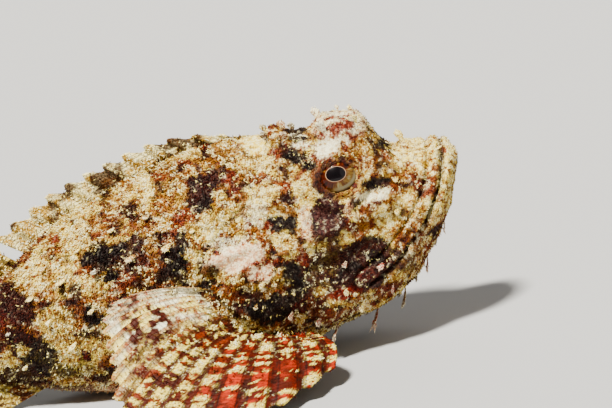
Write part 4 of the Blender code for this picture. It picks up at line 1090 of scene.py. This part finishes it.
def fin_edges(name, k):
    """A fin's root line, its tip line and how far it bows between them, for places k along its root."""

    def on_middle(profile, first, last, sunk):
        behind = first + (last - first) * k
        return columns(behind, 0 * k, curve(profile, behind) - sunk)

    arc, bow = np.sin(math.pi * k), np.zeros((len(k), 3))
    if name == "pectoral_fin":
        root = blend((78.5, 26, 29.5), (66, 14, 6.5), k)
        heading, lifted = np.radians(curve(PECTORAL_HEADING, k)), np.radians(curve(PECTORAL_RISE, k))
        length = curve(PECTORAL_LENGTH, k)
        flat = length * np.cos(lifted)
        tip = root + columns(flat * np.cos(heading), flat * np.sin(heading), length * np.sin(lifted))
        tip[:, 2] = np.maximum(tip[:, 2], 0.7)
        low = np.clip((k - 0.6) / 0.4, 0, 1) ** 2
        bow = columns(-7 * low, 2 + 2 * low, 3.5 + 3.5 * np.clip(k / 0.3, 0, 1) - 2 * low)
    elif name == "pelvic_fin":
        root = blend((68, 8.5, 4.0), (76, 9.5, 2.2), k)
        heading, length = np.radians(60 - 34 * k), 33 + 7 * arc
        tip = blend((69, 11, 0.7), (77, 13, 0.7), k)
        tip = tip + columns(length * np.cos(heading), length * np.sin(heading), 0 * k)
    elif name == "dorsal_fin_spiny":
        root, height = on_middle(BACK, 63, 138, 2.5), curve(SPINE_HEIGHT, k) + 2.5
        tip = root + columns(height * 1.5, 0 * k, height)
    elif name == "dorsal_fin_soft":
        root, height = on_middle(BACK, 142, 170, 2.0), 5.0 + 7.0 * np.sin(math.pi * (0.15 + 0.7 * k))
        tip = root + columns(height * 1.6, 0 * k, height + 2.0)
    elif name == "anal_fin":
        root = on_middle(BELLY, 139, 161, -2.2)
        tip = columns(root[:, 0] + (17 + 5 * arc), -4.5 - 5 * k, 0.8 + 1.2 * k)
    else:
        root = blend((186.5, 0, 29.0), (186.5, 0, 14.5), k)
        fan, length = np.radians(19 * (1 - 2 * k)), 44 + 3 * arc
        tip = root + columns(length * np.cos(fan), 0 * k, length * np.sin(fan))
    return root, tip, bow


def pectoral_colours(k, t, places, on_ray, spots, patchy):
    """Pale upper rays with a brown band, brown middle rays, and red lowest rays with cream spots."""
    low = rise(k + (noise(places, 5.0, 68) - 0.5) * 0.14, 0.36, 0.5)
    lowest = rise(k + (noise(places, 5.0, 69) - 0.5) * 0.1, 0.60, 0.74)
    fleck = noise(places, 1.3, 77)
    upper = blend("grey", "white", lumps(places, 2.4, 65, 0.35, 0.55))
    upper = blend(upper, "cream", lumps(places, 4.4, 66, 0.45, 0.6) * 0.8)
    upper = blend(upper, "ochre", on_ray * 0.85)
    upper = blend(upper, "rust", rise(fleck, 0.52, 0.62) * lumps(places, 6, 78, 0.3, 0.5) * 0.85)
    band = bell(t - 0.66 - 0.1 * k, 0.17) * rise(patchy, 0.36, 0.5)
    band = np.clip(band * 1.8, 0, 1) * rise(fleck, 0.32, 0.46)
    upper = blend(upper, "brown", band)
    pale_tuft = rise(spots, 0.5, 0.57)
    middle = blend(blend("brown", "rust", lumps(places, 3.0, 70, 0.4, 0.6) * 0.7), "cream", pale_tuft)
    pale_spot = rise(spots - 0.12 * rise(t, 0.4, 0.7), 0.56, 0.6)
    warm = blend("red", "orange", lumps(places, 3.4, 67, 0.25, 0.6))
    warm = blend(blend(warm, "brown", rise(fleck, 0.5, 0.62) * 0.8), "cream", pale_spot)
    tint = blend(blend(upper, middle, low), warm, lowest)
    # The membrane between the middle and lowest rays is darker: partly its own colour, partly painted shade
    # in the grooves between the rays.
    web = blend("tan", "brown", np.maximum(low, band))
    web = blend(web, blend("dark", "red", rise(fleck, 0.4, 0.7) * 0.7), lowest)
    tint = blend(tint, web, (1 - on_ray) * 0.95 * low)
    base = 1 - rise(t + (patchy - 0.5) * 0.2, 0.10, 0.28)
    tint = blend(tint, blend("brown", "cream", rise(spots, 0.5, 0.62)), base * 0.9)
    frost = 0.9 - 0.85 * band * (1 - low)
    frost = frost + (0.05 + 0.9 * pale_tuft - frost) * low
    frost = frost + (0.02 + 0.93 * pale_spot - frost) * lowest
    cover = 0.16 * (1 - low) + low * (0.6 + 0.4 * pale_tuft)
    cover = cover + (0.12 + 0.85 * pale_spot - cover) * lowest + base * 0.5
    return tint, np.clip(frost, 0, 1), np.clip(cover, 0, 1) * np.maximum(on_ray, 1 - low)


def fin_colours(name, k, t, long, places, on_ray, number):
    """Tint, frosting and cover of papillae over a fin, for the place k among its rays and t along them."""
    ragged = noise(places, 0.9, 79) - 0.5
    spots = noise(columns(number * 5.0, long, 0 * t), 1.7, 61) + ragged * 0.75
    patchy = noise(places, 5.5, 64)
    if name == "pectoral_fin":
        on_ray = np.clip(on_ray + ragged * 1.2 * (on_ray > 0.02), 0, 1)
        return pectoral_colours(k, t, places, on_ray, spots, patchy)
    if name == "dorsal_fin_spiny":
        stripe = rise(patchy + (noise(places, 1.6, 81) - 0.5) * 0.5, 0.56, 0.62)
        tint = blend(blend("cream", "white", 0.5), "tan", lumps(places, 1.6, 82, 0.46, 0.6))
        return blend(tint, "brown", stripe * 0.9), 1.0 - 0.8 * stripe, np.ones_like(t)
    tint = blend("cream", "tan", noise(places, 4.0, 70))
    tint = blend(tint, "rust", lumps(places, 3.2, 71, 0.5, 0.6) * 0.8)
    wave = np.sin(2 * math.pi * (t * 5.0 + spots * 0.7 + (noise(places, 9.0, 62) - 0.5) * 1.4))
    barred = rise(wave + (noise(places, 2.2, 63) - 0.5) * 1.6, 0.1, 0.5)
    # Bars are the fin's own colour; the darker membrane between rays is partly its own colour, partly painted
    # shade between the rays.
    tint = blend(blend(tint, "brown", barred * 0.9), "brown", (1 - on_ray) * 0.5)
    return tint, 0.85 - 0.7 * barred, on_ray


def fin_sheet(name, side):
    """Both faces of a fin as closed grids, and its facts."""
    rays, rows, notch, ray_thick, web_thick, swung = FINS[name]
    k = np.linspace(0, 1, (rays - 1) * GAP_STEPS + 1)
    t = np.linspace(0, 1, rows + 1)
    between = np.abs((k * (rays - 1) + 0.5) % 1 - 0.5)  # 0 on a ray, 0.5 half way to the next
    broad = 0.2 + 0.2 * rise(k, 0.36, 0.5) if name == "pectoral_fin" else np.full_like(k, 0.4)
    crown = np.sqrt(np.clip(1 - (between / broad) ** 2, 0, 1))
    starts, ends, bow = fin_edges(name, k)
    ends = starts + (ends - starts) * (1 - notch * rise(between, 0.05, 0.45))[:, None]
    arch = (4 * t * (1 - t))[None, :, None] * bow[:, None]
    middle = starts[:, None] + (ends - starts)[:, None] * t[None, :, None] + arch
    straight = unit(np.cross(np.gradient(middle, axis=0), np.gradient(middle, axis=1)))
    k2, t2 = np.meshgrid(k, t, indexing="ij")
    long = t2 * np.linalg.norm(ends - starts, axis=1)[:, None]
    on_ray = np.broadcast_to((1 - rise(between / broad, 0.5, 1))[:, None], k2.shape)
    number = np.round(k2 * (rays - 1))
    joint_count = long / JOINT_LENGTH + noise(columns(number * 3.0, 0 * t2, 0 * t2), 1.0, 75)
    wobble = 1 + 0.5 * (noise(middle, 1.6, 73) - 0.5)
    thick = (web_thick * (1 - 0.4 * t2) + (ray_thick * (1 - 0.5 * t2) - 0.3) * crown[:, None] * wobble) / 2
    thick = np.maximum(thick, THINNEST)
    sway = 0.5 * (on_ray - 0.4) + 0.7 * (noise(middle, 6.0, 74) - 0.5)
    middle = middle + straight * (sway * rise(t2, 0.0, 0.25))[..., None]
    faces = [middle + straight * thick[..., None], middle - straight * thick[..., None]]
    lift = np.maximum(0.05 - np.minimum(faces[0][..., 2], faces[1][..., 2]), 0)
    for face in faces:
        face[..., 2] += lift
    signed = mirrored(middle, side)
    tint, frost, cover = fin_colours(name, k2, t2, long, signed, on_ray, number)
    outer = unit(np.gradient(middle, axis=1))
    world = [placed(mirrored(face, side), swung) for face in faces]
    lie = unit(placed(mirrored(middle + outer, side), swung) - placed(signed, swung))
    lined = 0.5 * rise(t2, 0.1, 0.25) * noise(middle, 3.0, 76) if name != "dorsal_fin_spiny" else 0 * t2
    return world, {
        "tint": tint, "frost": frost, "cover": cover * rise(t2, 0.04, 0.12), "lie": lie,
        "reach": np.full_like(t2, 1.15) * (1 - 0.35 * t2), "ray_place": columns(joint_count, on_ray, lined),
        "root_place": columns(0.98 * k2, 0.48 * t2, 0 * t2),
    }


def build_fin(name, side=0):
    """One fin: its sheet replaces the node, and papillae stand in rows on its rays."""
    node = name + {1: "_left", -1: "_right", 0: ""}[side]
    world, facts = fin_sheet(name, side or 1)
    across, rows = world[0].shape[:2]
    half = across * rows
    grid = ring_faces(across, rows, closed=False)
    rim = [c * rows for c in range(across)] + [(across - 1) * rows + r for r in range(1, rows)]
    rim += [c * rows + rows - 1 for c in range(across - 2, -1, -1)] + list(range(rows - 2, 0, -1))
    rim = np.array(rim)
    wall = np.stack([rim, rim + half, np.roll(rim, -1) + half, np.roll(rim, -1)], axis=1)
    facts = flat_facts(facts)
    given = {k: np.concatenate([facts[k]] * 2) for k in ("tint", "frost", "ray_place")}
    points = np.concatenate([face.reshape(-1, 3) for face in world])
    thing = outwards(solid(f"{node}_detail", points, [grid, grid[:, ::-1] + half, wall], given))
    dress(thing, FIN)
    ride(thing, f"{node}_skin", node)
    # Papillae stand on both faces, but not on the hidden one of a belly fin.
    for face, quads in ((0, grid),) if name == "pelvic_fin" else ((0, grid), (1, grid[:, ::-1])):
        up = world[face].reshape(-1, 3)
        normal = np.cross(up[quads[:, 1]] - up[quads[:, 0]], up[quads[:, 2]] - up[quads[:, 0]]).sum(axis=0)
        off = (world[face] - world[1 - face]).reshape(-1, 3).sum(axis=0)
        quads = quads if normal @ off > 0 else quads[:, ::-1]
        bed = {**facts, "root_place": facts["root_place"] + (0, 0.5 * face, 0)}
        seed = 200 + 10 * face + side
        grow_papillae(f"papillae_{node}_{face}", up, quads, bed, f"{node}_skin", seed, **FIN_COAT)


# ---- Eyes ----

EYE_INSET = 0.05  # the eyeball's surface lies this far inside the solid
EYE_SEGMENTS, EYE_RINGS = 64, 48
PUPIL_OVAL = 0.16
CORNEA_RISE, CORNEA_WIDTH = 0.035, 0.42


def build_eye(side):
    """A smooth eyeball whose pupil looks out and a little up, with speckled iris and wet cornea."""
    word = {1: "left", -1: "right"}[side]
    shape = bmesh.new()
    bmesh.ops.create_uvsphere(shape, u_segments=EYE_SEGMENTS, v_segments=EYE_RINGS, radius=1.0)
    mesh = bpy.data.meshes.new(f"eyeball_{word}")
    shape.to_mesh(mesh)
    shape.free()
    local = np.empty(len(mesh.vertices) * 3, np.float32)
    mesh.vertices.foreach_get("co", local)
    local = local.reshape(-1, 3)  # the pupil's axis is Z
    ring = np.arccos(np.clip(local[:, 2], -1, 1)) / (math.pi / 2)
    turn = np.arctan2(local[:, 1], local[:, 0])
    oval = ring * (1 - PUPIL_OVAL * np.cos(2 * turn))
    # The cornea stands slightly proud over the pupil and iris.
    swelled = local * (1 + CORNEA_RISE * bell(ring, CORNEA_WIDTH))[:, None]
    gaze = unit(np.array((-0.04, side * 1.0, 0.28)))
    across = unit(np.cross((0, 0, 1.0), gaze))
    upward = np.cross(gaze, across)
    turned = swelled[:, [0]] * across + swelled[:, [1]] * upward + swelled[:, [2]] * gaze
    centre = placed(mirrored((EYE["behind"], EYE["out"], EYE["up"]), side))
    world = turned * (EYE["radius"] - EYE_INSET) * METRE + centre
    mesh.vertices.foreach_set("co", world.astype(np.float32).ravel())
    give(mesh, "ring", oval)
    give(mesh, "lower", 0.5 + 0.5 * (turned @ unit(np.array((0.55, 0, -0.85)))) / 0.65)
    give(mesh, "spoke", np.stack([np.cos(turn) * 3.2, np.sin(turn) * 3.2, ring * 2.4], axis=1))
    thing = show(f"eyeball_{word}", mesh)
    mesh.shade_smooth()
    if np.linalg.det(np.stack([across, upward, gaze])) < 0:
        mesh.flip_normals()
    dress(thing, WET_EYE)
    ride(thing, f"eye_{word}_surface", f"eye_{word}")


# ---- Spines and fringed flaps ----

# behind, up, length, thickness
HEAD_SPINES = (
    (27.0, 67.0, 2.4, 1.4), (42.5, 66.5, 3.0, 1.5), (51.0, 69.5, 2.8, 1.5), (61.0, 69.0, 2.8, 1.5),
    (56.0, 55.0, 2.4, 1.4), (38.0, 42.5, 2.2, 1.4), (48.0, 40.5, 2.4, 1.4), (59.5, 38.0, 3.2, 1.7),
    (58.5, 30.5, 2.8, 1.6), (54.5, 22.5, 2.6, 1.5), (80.0, 41.0, 3.4, 1.7), (76.0, 37.5, 2.8, 1.5),
)
# behind, up, length, width, tone
FLAPS = (
    (15.6, 60.6, 3.6, 3.0, "cream"), (39.2, 69.6, 4.2, 3.4, "white"), (29.0, 70.0, 2.5, 2.0, "cream"),
    (22.0, 42.0, 2.6, 2.0, "cream"), (47.0, 11.5, 7.5, 5.0, "rust"), (41.0, 30.0, 2.4, 2.0, "rust"),
    (30.0, 27.2, 2.8, 2.2, "orange"), (8.0, 33.0, 4.5, 3.0, "orange"), (15.0, 22.0, 5.5, 3.6, "orange"),
    (24.0, 14.0, 6.5, 4.4, "red"), (34.0, 10.5, 7.5, 5.0, "orange"), (60.0, 19.0, 2.9, 2.1, "rust"),
    (66.5, 30.5, 2.9, 2.1, "cream"), (92, 47, 3.6, 2.5, "cream"), (103, 46, 3.6, 2.5, "tan"),
    (114, 44, 3.6, 2.4, "brown"), (125, 42, 3.3, 2.2, "cream"), (136, 38, 3.2, 2.1, "cream"),
    (112, 24, 3.0, 2.1, "tan"), (126, 22, 2.9, 2.0, "cream"), (158, 27, 2.9, 1.9, "cream"),
    (170, 24, 2.6, 1.7, "brown"),
    # smaller ones
    (20, 51, 2.6, 1.8, "cream"), (5, 56.5, 2.4, 1.4, "cream"), (33, 72, 1.6, 1.8, "white"),
    (51.5, 69, 3.2, 3.4, "rust"), (48.5, 68.6, 2.6, 3.0, "brown"), (57, 70, 3.0, 2.6, "brown"),
    (20, 30, 3.2, 2.2, "tan"), (28, 19, 3.4, 2.4, "orange"), (19, 17, 3.6, 2.4, "red"),
    (11, 26, 3.0, 2.0, "rust"), (38, 16, 3.6, 2.8, "cream"), (42, 22, 3.0, 2.4, "cream"),
    (52, 15, 3.6, 2.8, "rust"), (70, 24, 2.3, 1.6, "tan"), (84, 50, 2.3, 1.6, "cream"),
    (97, 56, 2.3, 1.6, "tan"), (108, 54, 2.4, 1.6, "cream"), (119, 50, 2.3, 1.6, "cream"),
    (131, 46, 2.2, 1.5, "tan"), (104, 34, 2.4, 1.6, "cream"), (118, 32, 2.4, 1.6, "cream"),
    (132, 30, 2.3, 1.5, "cream"), (146, 28, 2.2, 1.5, "brown"), (144, 16, 2.2, 1.5, "cream"),
    (164, 31, 1.9, 1.2, "cream"), (178, 22, 1.9, 1.2, "brown"),
)

FINGERS = 13  # round a flap's edge
FLAP_CURL = 0.22
CREST_UP = 60  # flaps above this stand, and those below it hang


def tapered(points, radii, flat, thin, sides=6, squash=0.5):
    """A bent tapering tube along points, flattened, ending in a tip. Returns points and faces."""
    turns = np.linspace(0, 2 * math.pi, sides, endpoint=False)
    rings = [
        centre + radius * (np.cos(turns)[:, None] * flat + np.sin(turns)[:, None] * thin * squash)
        for centre, radius in zip(points[:-1], radii)
    ]
    made = np.concatenate(rings + [points[-1:]])
    faces = []
    for r in range(len(rings) - 1):
        for c in range(sides):
            a, b = r * sides + c, r * sides + (c + 1) % sides
            faces += [(a, b, b + sides), (a, b + sides, a + sides)]
    last = (len(rings) - 1) * sides
    faces += [(last + c, last + (c + 1) % sides, len(made) - 1) for c in range(sides)]
    faces += [(0, c + 1, c) for c in range(1, sides - 1)]
    return made, faces


def fringed_flap(behind, up, side, length, width, chances):
    """A thin skin flap that widens to a fan, with a fringe of short fingers round its edge."""
    root, straight = on_skin(behind, up)
    hang = np.array((0.5, 0.3, -0.6) if up < CREST_UP else (0.1, 0.0, 1.0))
    way = unit(hang + straight * 0.5)
    flat = unit(np.cross(way, straight if up < CREST_UP else (0, 1.0, 0)))
    flat = unit(flat + straight * chances.uniform(-0.3, 0.3))
    thin = unit(np.cross(flat, way))
    curl = np.array((FLAP_CURL, 0, 0))

    def spot(along, across=0.0):
        return root + way * length * along + curl * length * max(along, 0) ** 2 + flat * across * width / 2

    parts = [tapered(np.array([spot(s) for s in (-0.25, 0.0, 0.25, 0.5, 0.68, 0.8, 0.86)]),
                     np.array((0.16, 0.2, 0.3, 0.4, 0.42, 0.3)) * width, flat, thin, 10, 0.17)]
    for number in range(FINGERS):
        spread = (number / (FINGERS - 1) - 0.5) * 2
        base = 0.72 - 0.5 * abs(spread) ** 2.2
        long = length * (0.16 + 0.22 * chances.random()) * (1.15 - 0.3 * abs(spread))
        sideways = flat * spread * 0.9 + thin * chances.uniform(-0.35, 0.35)
        heading = unit(way * (1.1 - 0.7 * abs(spread)) + sideways)
        start = spot(base, spread * (0.72 if base > 0.5 else 0.5))
        line = np.array([start - heading * 0.4 * long, start, start + heading * 0.55 * long,
                         start + heading * long + curl * 0.3])
        thick = 0.06 * width * chances.uniform(0.8, 1.3)
        parts.append(tapered(line, np.array((1.0, 1.15, 0.85)) * thick, flat, thin, 5, 0.8))
    points, faces, count = [], [], 0
    for made, its_faces in parts:
        points.append(made)
        faces += [tuple(i + count for i in face) for face in its_faces]
        count += len(made)
    points = np.concatenate(points)
    along = np.clip(((points - root) @ way) / length, 0, 1)
    return mirrored(points, side), np.array(faces), along


def head_spine(behind, up, side, length, thick):
    """A bony spine in its sheath of skin, ridged at the root."""
    root, straight = on_skin(behind, up)
    way = unit(np.array((1.0, 0.25, 0.1)) + straight * 0.35)
    flat = unit(np.cross(way, straight))
    thin = np.cross(flat, way)
    line = np.array([root - straight * 1.0 + way * length * s for s in (-0.5, -0.1, 0.25, 0.6, 0.85, 1.0)])
    radii = np.array((0.50, 0.44, 0.33, 0.2, 0.1)) * thick
    made, faces = tapered(line, radii, flat, thin, 10, 1.0)
    along = np.clip(((made - root) @ way) / length, 0, 1)
    return mirrored(made, side), np.array(faces), along


def join_parts(name, parts, tints, material):
    """Joins many small bodies into one piece that keeps each one's tint and its length measure."""
    points, faces, along, tint, count = [], [], [], [], 0
    for (made, its_faces, its_along), colour in zip(parts, tints):
        points.append(made)
        faces.append(its_faces + count)
        along.append(its_along)
        tint.append(np.tile(colour, (len(made), 1)))
        count += len(made)
    facts = {"tint": np.concatenate(tint), "along": np.concatenate(along)}
    thing = outwards(solid(name, placed(np.concatenate(points)), [np.concatenate(faces)], facts))
    dress(thing, material)
    ride(thing, "head_skin")


def build_trimmings():
    """Flaps and spines on both sides, each tinted as the skin at its root."""
    chances = np.random.default_rng(11)
    parts, tints = [], []
    for behind, up, length, width, tone in FLAPS:
        for side in (1, -1):
            size = chances.uniform(0.85, 1.1)
            parts.append(fringed_flap(behind, up, side, length * size, width, chances))
            own, frosted = markings(mirrored(on_skin(behind, up)[0], side))
            own = blend(own, "cream", frosted * 0.6)
            tints.append(blend(own, tone, 0.8))
    join_parts("skin_flaps", parts, tints, FLAP)
    parts, tints = [], []
    for behind, up, length, thick in HEAD_SPINES:
        for side in (1, -1):
            parts.append(head_spine(behind, up, side, length, thick))
            own, frosted = markings(mirrored(on_skin(behind, up)[0], side))
            tints.append(blend(own, "cream", frosted * 0.5))
    join_parts("head_spines", parts, tints, BONE)


# ---- The setting ----

FLOOR_REACH, FLOOR_DROP = 30.0, 0.0001
# Each sun's name, strength, width in degrees, colour, and direction.
SUNS = (
    ("sun", 11, 9, (1.0, 0.95, 0.84), (0.25, 0.40, -0.88)),
    ("fill", 0.65, 60, (1.0, 0.97, 0.92), (-0.75, 0.6, -0.3)),
    ("rim", 1.0, 40, (1.0, 0.97, 0.92), (-0.1, -0.8, -0.6)),
)
ROOM = {"Color": (1.0, 0.97, 0.91, 1), "Strength": 0.16}
CAMERA_DISTANCE, SEEN_WIDTH = 0.55, 0.1938
CAMERA_ROLL = math.radians(12)
AIM_AHEAD, AIM_UP = 0.0458, 0.0455
SENSOR = 36


def build_stage():
    """A plain pale floor that runs out past the horizon."""
    reach = (-FLOOR_REACH, FLOOR_REACH)
    points = [(x, y, -FLOOR_DROP) for x in reach for y in reach]
    floor = solid("pale_floor", points, [np.array([(0, 2, 3, 1)])])
    pale = rgba(linear("b6b7b9"))
    board = Paint("matt_painted_board", Roughness=0.9, Specular_IOR_Level=0.0, Base_Color=pale)
    dress(floor, board.material)


def build_light():
    """A sun from the upper left behind the camera, two weak ones to fill, and a pale room."""
    for name, energy, wide, colour, way in SUNS:
        sun = bpy.data.lights.new(name, "SUN")
        sun.energy, sun.angle, sun.color = energy, math.radians(wide), colour
        thing = show(name, sun)
        thing.rotation_mode = "QUATERNION"
        thing.rotation_quaternion = Vector(way).to_track_quat("-Z", "Y")
    world = bpy.data.worlds.new("soft pale room")
    bpy.context.scene.world = world
    world.use_nodes = True
    for key, value in ROOM.items():
        world.node_tree.nodes["Background"].inputs[key].default_value = value


def build_camera():
    """The photograph's framing: level with the fish, ten degrees down, rolled so the head rides high."""
    back = Vector((0, -math.cos(LOOK_DOWN), math.sin(LOOK_DOWN)))
    target = Vector((AIM_AHEAD, 0, AIM_UP / math.cos(LOOK_DOWN)))
    camera = show("camera", bpy.data.cameras.new("camera"))
    facing = (-back).to_track_quat("-Z", "Y").to_matrix().to_4x4()
    moved = Matrix.Translation(target + back * CAMERA_DISTANCE)
    camera.matrix_world = moved @ facing @ Matrix.Rotation(-CAMERA_ROLL, 4, "Z")
    camera.data.sensor_width = SENSOR
    camera.data.lens = SENSOR * CAMERA_DISTANCE / SEEN_WIDTH
    camera.data.clip_start = 0.01
    bpy.context.scene.camera = camera


world_grid, skin_facts = make_skin()
build_skin(world_grid, skin_facts)
build_coat(world_grid, skin_facts)
for fin_name in ("pectoral_fin", "pelvic_fin"):
    for which in (1, -1):
        build_fin(fin_name, which)
for fin_name in ("dorsal_fin_spiny", "dorsal_fin_soft", "anal_fin", "caudal_fin"):
    build_fin(fin_name)
for which in (1, -1):
    build_eye(which)
build_trimmings()
build_stage()
build_light()
build_camera()
